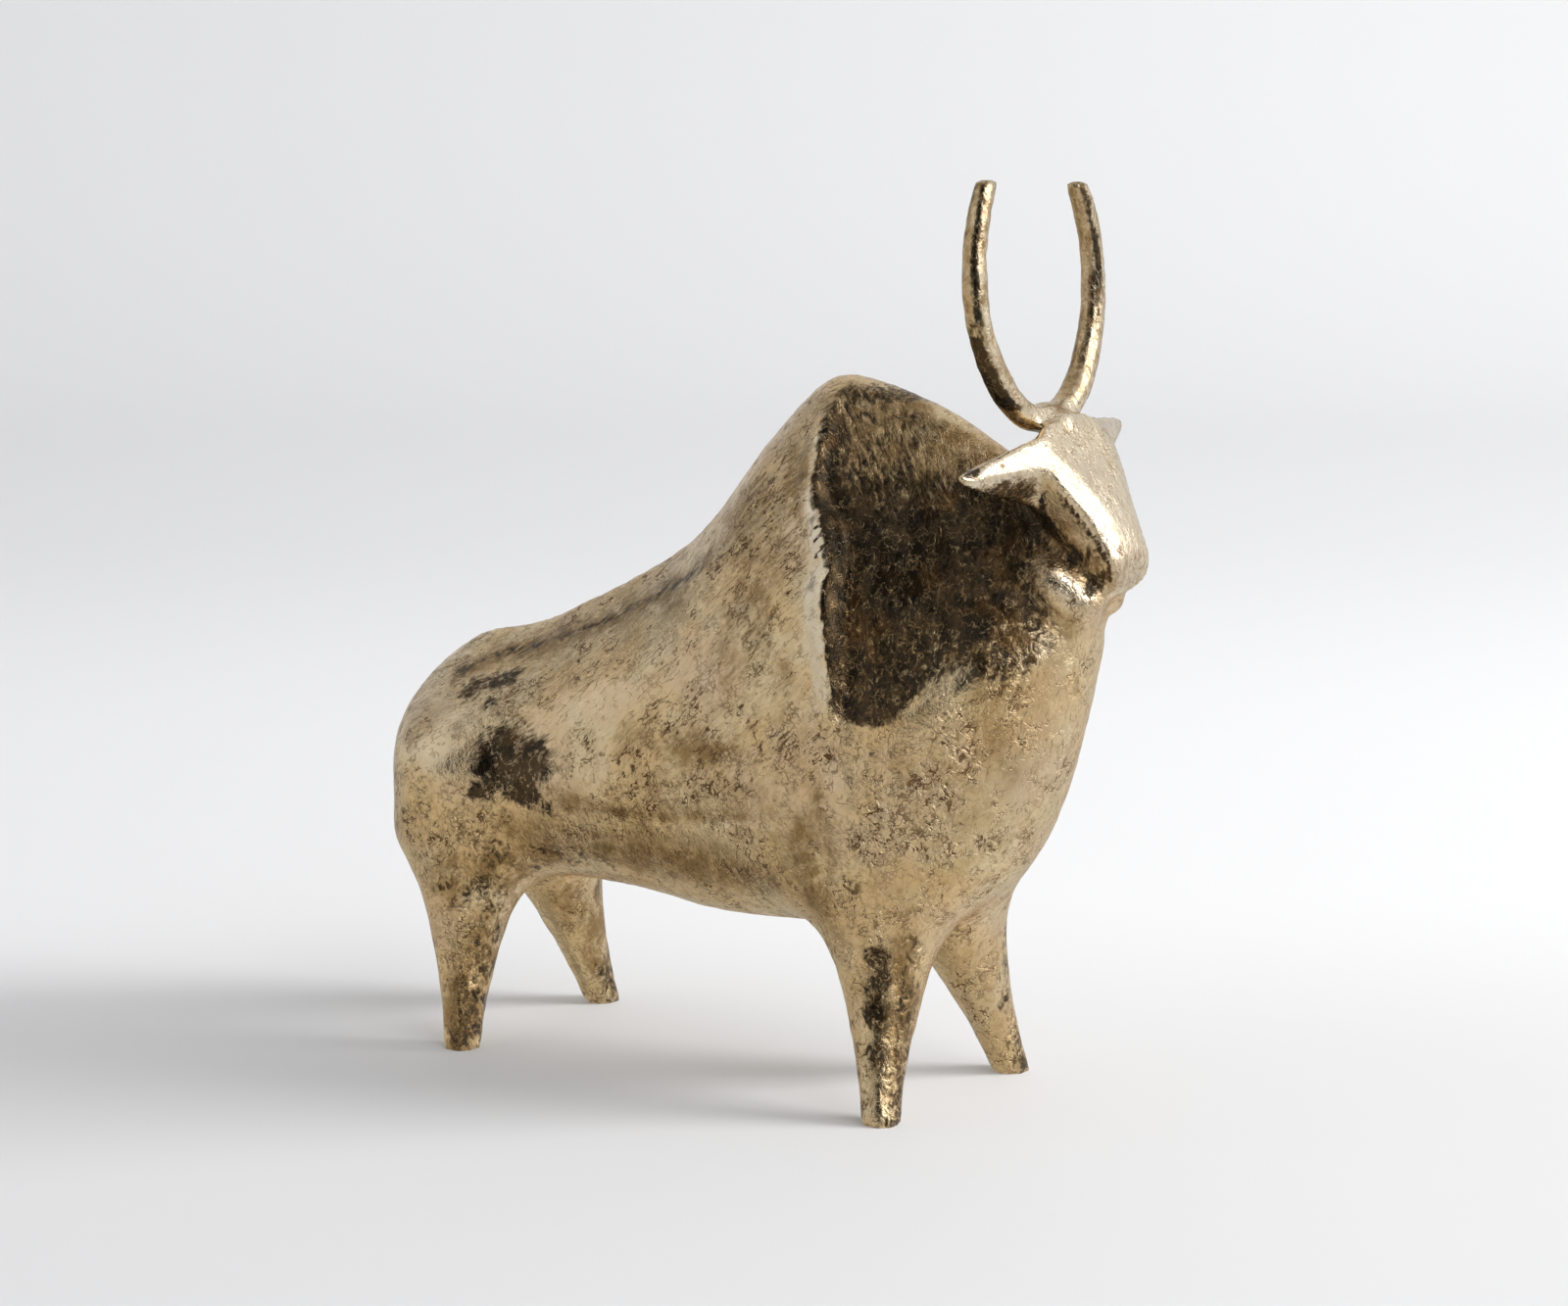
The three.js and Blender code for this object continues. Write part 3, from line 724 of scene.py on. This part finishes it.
        # A polished hem beside the ridge, whose paler colour paints the ridge's highlight.
        polish_and_sheen_hem = smooth(-1, 2, zones.ahead + width) * smooth(0.5, -1, zones.ahead)
        polish_and_sheen_hem = polish_and_sheen_hem * window((135, 150, 230, 240), skin.z) * trunk
        polish_and_sheen = np.maximum(skin.patches(self.polish_and_sheen_patches, rough), polish_and_sheen_hem)
        coarse = 0.42 + 0.38 * smooth(-0.2, 0.4, zones.broad + 0.5 * rough)
        coarse = np.maximum(coarse, skin.patches(self.rough_patches, rough)) * (1 - 0.9 * polish_and_sheen)
        coarse = np.maximum(coarse * trunk * bare, (0.55 + 0.3 * zones.jowl) * zones.hollow)
        limbs = (1 - trunk) * (1 - head) * (0.6 - 0.35 * skin.horns)
        face = head * smooth(0.1, 0.5, skin.out)
        skin.store(Mark.ROUGH, coarse + limbs + 0.15 * head + 0.3 * face)
        # The paler worn colour: polish, and painted sheen on the hem, the patches and the throat's cushion.
        worn = np.maximum.reduce([0.6 * polish_and_sheen, 0.85 * polish_and_sheen_hem, 0.9 * zones.cushion])
        # On the face the paler colour paints its highlight.
        skin.store(Mark.SMOOTH, np.maximum(worn * bare, 0.3 * head + 0.56 * face))
        rising = smooth(98, 120, skin.z) * smooth(66, 56, skin.x) * bare
        skin.store(Mark.RISING, rising * trunk * 0.85)
        forehead = head * smooth(0.35, 0.6, skin.out)
        skin.store(Mark.FALLING, np.maximum(forehead, zones.hollow * zones.top))


class Wire:
    """A number in a node tree, so that shader maths reads as Python maths."""

    def __init__(self, graph: "Graph", socket: bpy.types.NodeSocket) -> None:
        """Wraps an output of the graph's tree."""
        self.graph = graph
        self.socket = socket

    def _math(self, operation: str, *values: Any) -> "Wire":
        """One step of maths, by Blender's name, on wires or numbers."""
        node = self.graph.node("ShaderNodeMath", {"operation": operation}, dict(enumerate(values)))
        return Wire(self.graph, node.outputs[0])

    def __add__(self, other: Any) -> "Wire":
        """Adds."""
        return self._math("ADD", self, other)

    def __radd__(self, other: Any) -> "Wire":
        """Adds, with the number first."""
        return self._math("ADD", other, self)

    def __sub__(self, other: Any) -> "Wire":
        """Subtracts."""
        return self._math("SUBTRACT", self, other)

    def __rsub__(self, other: Any) -> "Wire":
        """Subtracts from a number."""
        return self._math("SUBTRACT", other, self)

    def __mul__(self, other: Any) -> "Wire":
        """Multiplies."""
        return self._math("MULTIPLY", self, other)

    def __rmul__(self, other: Any) -> "Wire":
        """Multiplies, with the number first."""
        return self._math("MULTIPLY", other, self)

    def __truediv__(self, other: Any) -> "Wire":
        """Divides."""
        return self._math("DIVIDE", self, other)

    def __neg__(self) -> "Wire":
        """Changes the sign."""
        return self._math("MULTIPLY", self, -1)

    def __abs__(self) -> "Wire":
        """Drops the sign."""
        return self._math("ABSOLUTE", self)

    def angle(self, operation: str, *values: Any) -> "Wire":
        """An angle in degrees, by Blender's name of its step of maths."""
        return self._math(operation, self, *values) * math.degrees(1)

    def most(self, other: Any) -> "Wire":
        """The higher of two."""
        return self._math("MAXIMUM", self, other)

    def step(self, start: float, end: float, low: float = 0, high: float = 1) -> "Wire":
        """A soft step.

        Args:
            start: Where it begins.
            end: Where it ends.
            low: Its value at the beginning.
            high: Its value at the end.

        Returns:
            The stepped value.
        """
        node = self.graph.node(
            "ShaderNodeMapRange",
            {"interpolation_type": "SMOOTHSTEP"},
            {"Value": self, "From Min": start, "From Max": end, "To Min": low, "To Max": high},
        )
        return Wire(self.graph, node.outputs["Result"])

    def window(self, span: Span) -> "Wire":
        """A soft band that rises between the first two numbers and falls between the last two."""
        return self.step(span[0], span[1]) * self.step(span[2], span[3], 1, 0)


class Arrow(Wire):
    """A vector in a node tree."""

    def _vector(self, operation: str, inputs: dict) -> "Arrow":
        """One step of vector maths, by Blender's name, with the inputs after the first."""
        node = self.graph.node("ShaderNodeVectorMath", {"operation": operation}, {0: self, **inputs})
        return Arrow(self.graph, node.outputs["Vector"])

    def __add__(self, other: Any) -> "Arrow":
        """Adds a vector."""
        return self._vector("ADD", {1: other})

    def __sub__(self, other: Any) -> "Arrow":
        """Takes a vector away."""
        return self._vector("SUBTRACT", {1: other})

    def __mul__(self, other: Any) -> "Arrow":
        """Multiplies by a vector, part by part."""
        return self._vector("MULTIPLY", {1: other})

    def scaled(self, factor: Any) -> "Arrow":
        """Scales by one number."""
        return self._vector("SCALE", {"Scale": factor})

    def parts(self) -> tuple[Wire, Wire, Wire]:
        """The x, y and z parts."""
        node = self.graph.node("ShaderNodeSeparateXYZ", {}, {0: self})
        return tuple(Wire(self.graph, out) for out in node.outputs)


class Graph:
    """Builds the nodes of a material or a world."""

    def __init__(self, tree: bpy.types.NodeTree) -> None:
        """Starts by emptying the tree."""
        self.tree = tree
        tree.nodes.clear()

    def node(self, kind: str, settings: dict | None = None, inputs: dict | None = None) -> bpy.types.Node:
        """Adds a node.

        Args:
            kind: Blender's name of the node type.
            settings: Its properties.
            inputs: Its inputs by name or number, as wires, sockets or plain values.

        Returns:
            The node.
        """
        made = self.tree.nodes.new(kind)
        for name, value in (settings or {}).items():
            setattr(made, name, value)
        for name, value in (inputs or {}).items():
            if isinstance(value, Wire):
                value = value.socket
            if isinstance(value, bpy.types.NodeSocket):
                self.tree.links.new(value, made.inputs[name])
            else:
                made.inputs[name].default_value = value
        return made

    def coordinates(self, kind: str) -> Arrow:
        """Coordinates of one of Blender's kinds."""
        return Arrow(self, self.node("ShaderNodeTexCoord").outputs[kind])

    def noise(
        self, at: Arrow, size: float, detail: float = 3, rough: float = 0.55, twist: float = 0
    ) -> Wire:
        """Smooth noise.

        Args:
            at: The place, in millimetres.
            size: Size of its largest bumps, in millimetres.
            detail: How many finer layers it has.
            rough: How strong the finer layers are.
            twist: How much it is distorted.

        Returns:
            A number round 0.5.
        """
        inputs = {"Vector": at, "Scale": 1 / size, "Detail": detail, "Roughness": rough}
        made = self.node("ShaderNodeTexNoise", {}, {**inputs, "Distortion": twist})
        return Wire(self, made.outputs["Fac"])

    def warped(self, at: Arrow, size: float, reach: float) -> Arrow:
        """A place pushed about, up to a reach, by noise of a size, all in millimetres."""
        node = self.node("ShaderNodeTexNoise", {}, {"Vector": at, "Scale": 1 / size, "Detail": 2})
        return at + (Arrow(self, node.outputs["Color"]) - (0.5, 0.5, 0.5)).scaled(2 * reach)

    def cells(self, at: Arrow, size: float) -> tuple[Wire, Wire]:
        """Round cells.

        Args:
            at: The place, in millimetres.
            size: Size of a cell, in millimetres.

        Returns:
            The distance from the cell's middle as a share of the size, and the cell's own number.
        """
        node = self.node("ShaderNodeTexVoronoi", {"feature": "F1"}, {"Vector": at, "Scale": 1 / size})
        colour = self.node("ShaderNodeSeparateColor", {}, {0: node.outputs["Color"]})
        return Wire(self, node.outputs["Distance"]), Wire(self, colour.outputs[0])

    def blend(self, factor: Any, a: Any, b: Any) -> Wire:
        """Mixes two colours.

        Args:
            factor: The share of the second, as a wire or a number.
            a: The first colour.
            b: The second colour.

        Returns:
            The mixed colour.
        """
        node = self.node("ShaderNodeMix", {"data_type": "RGBA"})
        for slot, value in ((0, factor), (6, a), (7, b)):
            if isinstance(value, Wire):
                self.tree.links.new(value.socket, node.inputs[slot])
            else:
                node.inputs[slot].default_value = value
        return Wire(self, node.outputs[2])


class SkinGraph(Graph):
    """The nodes of a finish on the skin, with the place in millimetres and the skin's masks."""

    def __init__(self, tree: bpy.types.NodeTree) -> None:
        """Starts with the place and the masks.

        Args:
            tree: The tree to fill.
        """
        super().__init__(tree)
        self.at = self.coordinates("Object").scaled(1 / MM)
        masks = [self.node("ShaderNodeAttribute", {"attribute_name": mark.value}) for mark in Mark]
        wires = (Wire(self, mask.outputs["Fac"]) for mask in masks)
        self.patina, self.tarnish, self.rough, self.smooth, self.rising, self.falling = wires


@dataclass(frozen=True)
class CastBrass:
    """Cast brass, pitted and wrinkled, with brown-black patina and painted shade in its hollows, and
    painted shade, painted dark reflections and painted sheen in other places.
    """

    pale: Colour = (0.88, 0.705, 0.43, 1)
    gold: Colour = (0.85, 0.62, 0.335, 1)
    rosy: Colour = (0.80, 0.61, 0.42, 1)
    # A paler brass for polished places, which also paints sheen on the face, the ridge's hem, the throat's
    # cushion and smooth patches.
    worn: Colour = (0.89, 0.79, 0.61, 1)
    # Brown of tarnish, also laid as painted shade.
    tarnished: Colour = (0.38, 0.245, 0.108, 1)
    brown: Colour = (0.16, 0.080, 0.026, 1)
    umber: Colour = (0.09, 0.058, 0.028, 1)
    black: Colour = (0.04, 0.03, 0.018, 1)
    amber: Colour = (0.30, 0.14, 0.03, 1)
    rising_angle: float = math.radians(42)
    falling_angle: float = math.radians(-60)
    stroke_stretch: float = 0.27
    wrinkle_size: float = 2.8
    stroke_size: float = 1.7
    pit_size: float = 2.8

    def material(self) -> bpy.types.Material:
        """Builds the finish.

        Returns:
            The material.
        """
        made = bpy.data.materials.new("cast_brass")
        made.use_nodes = True
        g = SkinGraph(made.node_tree)
        at = g.at
        field = self._field(g)
        patchy = g.noise(at + (31, 7, 3), 16, 4, 0.6).step(0.44, 0.58, 0.14, 1)
        coarse = g.rough * patchy
        far, number = g.cells(g.warped(at, 1.6, 0.5), self.pit_size)
        pit = far.step(0.10, 0.28, 1, 0) * number.step(0.58, 0.70) * coarse
        cluster = g.noise(at + (3, 44, 18), 11, 4, 0.65).step(0.50, 0.60) * g.rough
        curl = abs(g.noise(g.warped(at, 2.4, 1), 2.4, 1, 0.5) - 0.5)
        worm = curl.step(0.025, 0.055, 1, 0) * cluster
        crease = (field + (1 - coarse) * 0.12).step(0.415, 0.46, 1, 0)
        lines = self._lines(g)
        bare = (1 - g.patina * 1.8).most(0)
        dirt = (crease * (coarse * 0.55 + 0.45)).most(pit * 0.85).most(worm * 0.95)
        dirt = dirt.most(lines * (coarse * 1.3 + 0.32) * bare)
        hold = (g.patina * 1.15 - (field - 0.5) * 1.7).step(0.30, 0.78)
        hold = hold * (1 - lines * 0.45)
        colour = self._colour(g, field, dirt, hold)
        height = self._height(g, field, coarse, pit.most(worm))
        height = height - lines * (coarse * 0.24 + 0.04) * (1 - g.patina * 2.6)
        worn = g.noise(at, 11, 3)
        rough = worn * 0.12 + dirt * 0.2 + hold * 0.04 - g.smooth * 0.04 + 0.14
        bump = g.node("ShaderNodeBump", {}, {"Strength": 1, "Distance": MM, "Height": height})
        inputs = {
            "Base Color": colour,
            "Metallic": 1 - dirt * 0.35 - hold * 0.12,
            "Roughness": rough,
            "Normal": bump.outputs["Normal"],
        }
        surface = g.node("ShaderNodeBsdfPrincipled", {}, inputs)
        g.node("ShaderNodeOutputMaterial", {}, {"Surface": surface.outputs["BSDF"]})
        return made

    def _lines(self, g: SkinGraph) -> Wire:
        """Thin broken lines: sharp wrinkles on bare metal, worn edges in the dark patina.

        Args:
            g: The tree.

        Returns:
            A number from 0 to 1, high on the lines.
        """
        pushed = g.warped(g.at, 6, 1.2)
        curls = g.noise(pushed, 3.4, 2, 0.5)
        strokes = g.noise(self._strokes(g, pushed, self.rising_angle), 2.2, 2, 0.5)
        where = curls + (strokes - curls) * g.rising
        broken = g.noise(g.at + (8, 2, 66), 4.5, 3, 0.6).step(0.47, 0.56)
        return abs(where - 0.5).step(0.014, 0.038, 1, 0) * broken

    def _strokes(self, g: Graph, at: Arrow, angle: float) -> Arrow:
        """The place drawn out along strokes that rise towards the head by an angle."""
        node = g.node("ShaderNodeVectorRotate", {"rotation_type": "Y_AXIS"}, {"Vector": at, "Angle": angle})
        return Arrow(g, node.outputs[0]) * (self.stroke_stretch, 0.8, 1)

    def _field(self, g: SkinGraph) -> Wire:
        """The wrinkles and brush strokes of the cast skin.

        Args:
            g: The tree.

        Returns:
            A number round 0.5, low in the creases and high on the folds.
        """
        pushed = g.warped(g.at, 9, 1.4)
        cast = g.noise(pushed * (1, 1, 0.75), self.wrinkle_size, 4, 0.62, 1.1)
        rising = g.noise(self._strokes(g, pushed, self.rising_angle), self.stroke_size, 4, 0.62, 0.5)
        falling = g.noise(self._strokes(g, pushed, self.falling_angle), self.stroke_size, 4, 0.62, 0.4)
        field = cast + (rising - cast) * g.rising
        return field + (falling - field) * g.falling

    def _colour(self, g: SkinGraph, field: Wire, dirt: Wire, hold: Wire) -> Wire:
        """The colour of the metal.

        Args:
            g: The tree.
            field: The wrinkles and strokes.
            dirt: Where dirt sits in pits and creases.
            hold: Where the dark patina, with its painted shade and dark reflections, holds.

        Returns:
            The colour.
        """
        at = g.at
        cloud = g.noise(at, 30, 3).step(0.40, 0.60)
        blush = g.noise(at + (90, 0, 40), 44, 2).step(0.45, 0.65)
        metal = g.blend(cloud, self.gold, self.pale)
        metal = g.blend(blush * 0.5, metal, self.rosy)
        # Paler where smooth: polish, and painted sheen.
        metal = g.blend(g.smooth * g.smooth, metal, self.worn)
        stain = g.noise(at + (12, 60, 25), 8, 4, 0.65)
        # Tarnish, with the painted shade and dark reflections that its mask carries.
        tarnish = g.tarnish * ((0.5 - field) * 1.6 + (stain - 0.5) * 2.2 + 0.9)
        spots = g.noise(at + (70, 20, 55), 17, 4).step(0.52, 0.70) * g.rough * 0.45
        metal = g.blend(tarnish.most(spots).step(0.05, 1), metal, self.tarnished)
        shade = field.step(0.56, 0.40) * (g.rough * 0.36 + 0.06)
        metal = g.blend(shade, metal, self.tarnished)
        dark = g.blend(g.noise(at, 7, 4).step(0.40, 0.60), self.black, self.umber)
        rust = g.noise(at + (5, 50, 9), 19, 2).step(0.56, 0.70)
        dark = g.blend(rust * 0.22, dark, self.amber)
        dark = g.blend(field.step(0.57, 0.70) * 0.5, dark, self.tarnished)
        metal = g.blend(dirt * 0.9, metal, self.brown)
        return g.blend(hold, metal, dark)

    def _height(self, g: SkinGraph, field: Wire, coarse: Wire, pit: Wire) -> Wire:
        """The fine relief of the skin.

        Args:
            g: The tree.
            field: The wrinkles and strokes.
            coarse: How rough the skin is.
            pit: Where there are pits.

        Returns:
            Millimetres above the form.
        """
        even = 1 - g.smooth * 0.7
        blister, _ = g.cells(g.warped(g.at, 5, 0.8), 2.6)
        bubbles = blister.step(0.12, 0.5, 1, 0) * g.patina * 0.08
        fold = (field - 0.5) * (coarse * 1.8 + 0.18) * even
        swell = (g.noise(g.at, 6, 3) - 0.5) * (coarse * 0.7 + 0.4) * even
        return fold + swell + bubbles - pit * 0.16


@dataclass(frozen=True)
class Sector:
    """A part of the room as the metal sees it: angles in degrees, and how bright it is."""

    level: float
    turn: Span | None = None
    rise: Span | None = None


@dataclass
class Studio:
    """Floor, backdrop, light and camera, in metres and degrees."""

    camera_at: tuple[float, float, float] = (0.8235, -1.188, 0.3842)
    camera_turn: float = 34.3
    camera_tilt: float = 9.2
    lens: float = 94.59
    half_width: float = 14.0
    floor_front: float = 14.0
    floor_back: float = 2.2
    curve_radius: float = 1.6
    wall_top: float = 6.0
    paper: float = 0.59
    glow_left: float = 0.02
    glow_right: float = 0.12
    glow_back: float = 0.10
    glow_reach: float = 1.1
    key_turn: float = 119.0
    key_rise: float = 27.0
    key_distance: float = 3.5
    key_size: float = 1.6
    key_power: float = 115.0
    room: float = 0.64
    mottle: float = 0.35
    below_front: float = 0.57
    below_back: float = 0.72
    seen: float = 0.86
    sectors: tuple[Sector, ...] = (
        Sector(0.64, turn=(-400, -399, -130, -110)),
        Sector(0.42, turn=(-114, -104, -80, -70), rise=(28, 38, 70, 80)),
        Sector(0.24, turn=(-114, -104, -80, -70), rise=(6, 14, 28, 38)),
        Sector(0.04, turn=(-18, -8, 38, 48), rise=(-90, -89, 54, 70)),
        Sector(0.045, turn=(-36, -24, 38, 48), rise=(44, 52, 54, 70)),
        Sector(0.86, turn=(44, 54, 399, 400)),
        Sector(0.78, turn=(134, 150, 399, 400)),
        Sector(0.72, turn=(160, 180, 399, 400)),
        Sector(0.72, turn=(-400, -399, -180, -160)),
        Sector(2.80, turn=(48, 58, 132, 142), rise=(6, 12, 48, 56)),
        Sector(0.09, turn=(28, 38, 68, 80), rise=(-90, -89, 10, 20)),
        Sector(0.60, rise=(60, 76, 90, 91)),
        Sector(0.14, turn=(-60, -44, -12, 4), rise=(40, 52, 74, 86)),
    )

    def build(self) -> None:
        """Sets up the studio."""
        self._backdrop()
        self._world()
        self._key()
        self._camera()
        bpy.context.scene.view_settings.view_transform = "Standard"

    def _backdrop(self) -> None:
        """One pale sheet of paper: the floor, a wide curve and a wall far behind the object."""
        sheet = bmesh.new()
        near = [sheet.verts.new((side * self.half_width, -self.floor_front, 0)) for side in (-1, 1)]
        edge = sheet.edges.new(near)
        edge = self._grow(sheet, edge, (0, self.floor_front + self.floor_back, 0))
        bent = bmesh.ops.spin(
            sheet,
            geom=[*edge.verts, edge],
            cent=(0, self.floor_back, self.curve_radius),
            axis=(1, 0, 0),
            angle=math.radians(90),
            steps=32,
            use_duplicate=False,
        )
        edge = next(e for e in bent["geom_last"] if isinstance(e, bmesh.types.BMEdge))
        self._grow(sheet, edge, (0, 0, self.wall_top))
        turn = Matrix.Rotation(math.radians(self.camera_turn), 3, "Z")
        bmesh.ops.rotate(sheet, verts=sheet.verts, cent=(0, 0, 0), matrix=turn)
        bmesh.ops.recalc_face_normals(sheet, faces=sheet.faces)
        mesh = bpy.data.meshes.new("backdrop")
        sheet.to_mesh(mesh)
        sheet.free()
        mesh.shade_smooth()
        backdrop = bpy.data.objects.new("backdrop", mesh)
        backdrop.visible_glossy = False
        bpy.context.scene.collection.objects.link(backdrop)
        mesh.materials.append(self._paper())

    def _grow(self, sheet: bmesh.types.BMesh, edge: bmesh.types.BMEdge, way: tuple) -> bmesh.types.BMEdge:
        """Draws the sheet on from one edge.

        Args:
            sheet: The sheet.
            edge: Its last edge.
            way: How far and which way it goes on.

        Returns:
            The new last edge.
        """
        grown = bmesh.ops.extrude_edge_only(sheet, edges=[edge])["geom"]
        bmesh.ops.translate(sheet, verts=[v for v in grown if isinstance(v, bmesh.types.BMVert)], vec=way)
        return next(e for e in grown if isinstance(e, bmesh.types.BMEdge))

    def _paper(self) -> bpy.types.Material:
        """Matt pale paper with a painted glow: it gives off light, more on the side of the window and
        further back, standing in for the lamps' light.

        Returns:
            The material.
        """
        made = bpy.data.materials.new("paper")
        made.use_nodes = True
        g = Graph(made.node_tree)
        turn = math.radians(self.camera_turn)
        x, y, _ = g.coordinates("Object").parts()
        across = x * math.cos(turn) + y * math.sin(turn)
        away = y * math.cos(turn) - x * math.sin(turn)
        reach = 1 + (away + self.glow_reach).most(0) * 0.55
        # The painted glow of the paper.
        glow = (across / reach).step(-0.75, 0.35, self.glow_left, self.glow_right)
        glow = glow + away.step(-0.05, 0.3, 0, self.glow_back) * away.step(0.6, 1.5, 1, 0.35)
        glow = glow + away.step(1.9, 3.2, 0, 0.045) * (1 + (across / reach).step(-0.1, 0.3))
        tone = (self.paper, self.paper, self.paper, 1)
        inputs = {"Base Color": tone, "Roughness": 0.8, "Emission Strength": 1, "Emission Color": glow}
        surface = g.node("ShaderNodeBsdfPrincipled", {}, inputs)
        g.node("ShaderNodeOutputMaterial", {}, {"Surface": surface.outputs["BSDF"]})
        return made

    def _world(self) -> None:
        """The room as a ring of soft panels: a window on one side, darkness behind the camera."""
        world = bpy.data.worlds.new("studio")
        bpy.context.scene.world = world
        world.use_nodes = True
        g = Graph(world.node_tree)
        way = g.coordinates("Generated")
        x, y, z = way.parts()
        turn = x.angle("ARCTAN2", -y)
        rise = z.angle("ARCSINE")
        level = turn * 0 + self.room
        for sector in self.sectors:
            share = 1
            for angle, span in ((turn, sector.turn), (rise, sector.rise)):
                if span:
                    share = angle.window(span) * share
            level = level + (sector.level - level) * share
        right = turn.step(74, 116).most(turn.step(-172, -150, 1, 0))
        below = self.below_front + right * (self.below_back - self.below_front)
        below = below - turn.step(-100, -84, 0.08, 0) * (1 - right)
        shaded = turn.window((-96, -80, -48, -30)) * rise.step(-30, -14, 1, 0)
        below = below * (1 - shaded * 0.5)
        level = level + (below - level) * rise.step(-6, -1, 1, 0)
        level = level * (1 - self.mottle + g.noise(way, 0.35, 2) * 2 * self.mottle)
        camera = Wire(g, g.node("ShaderNodeLightPath").outputs["Is Camera Ray"])
        level = level * (1 - camera) + camera * self.seen
        warmth = rise.step(-25, 12, 1, 0) * turn.step(70, 115, 1, 0)
        colour = g.blend(warmth, (0.99, 0.995, 1.02, 1), (1, 0.94, 0.82, 1))
        background = g.node("ShaderNodeBackground", {}, {"Color": colour, "Strength": level})
        g.node("ShaderNodeOutputWorld", {}, {"Surface": background.outputs[0]})

    def _key(self) -> None:
        """A soft light in front of the window, which throws the shadow."""
        lamp = bpy.data.lights.new("key", "AREA")
        lamp.shape = "DISK"
        lamp.size = self.key_size
        lamp.energy = self.key_power
        light = bpy.data.objects.new("key", lamp)
        light.visible_glossy = False
        turn, rise = math.radians(self.key_turn), math.radians(self.key_rise)
        way = Vector((math.sin(turn) * math.cos(rise), -math.cos(turn) * math.cos(rise), math.sin(rise)))
        light.location = way * self.key_distance
        light.rotation_euler = way.to_track_quat("Z", "Y").to_euler()
        bpy.context.scene.collection.objects.link(light)

    def _camera(self) -> None:
        """The camera at the photograph's viewing angle."""
        data = bpy.data.cameras.new("camera")
        data.lens = self.lens
        data.clip_start, data.clip_end = 0.05, 100
        camera = bpy.data.objects.new("camera", data)
        camera.location = self.camera_at
        camera.rotation_euler = (math.radians(90 - self.camera_tilt), 0, math.radians(self.camera_turn))
        bpy.context.scene.collection.objects.link(camera)
        bpy.context.scene.camera = camera


def main() -> None:
    """Builds the studio and the bull, and notes the sizes."""
    logging.basicConfig(level=logging.INFO)
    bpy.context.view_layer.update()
    Studio().build()
    piece = CastBull().build()
    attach(piece, BODY)
    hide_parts(NODE)
    triangles = sum(len(p.vertices) - 2 for p in piece.data.polygons)
    log.info("%s: %d triangles", piece.name, triangles)


if __name__ == "__main__":
    main()
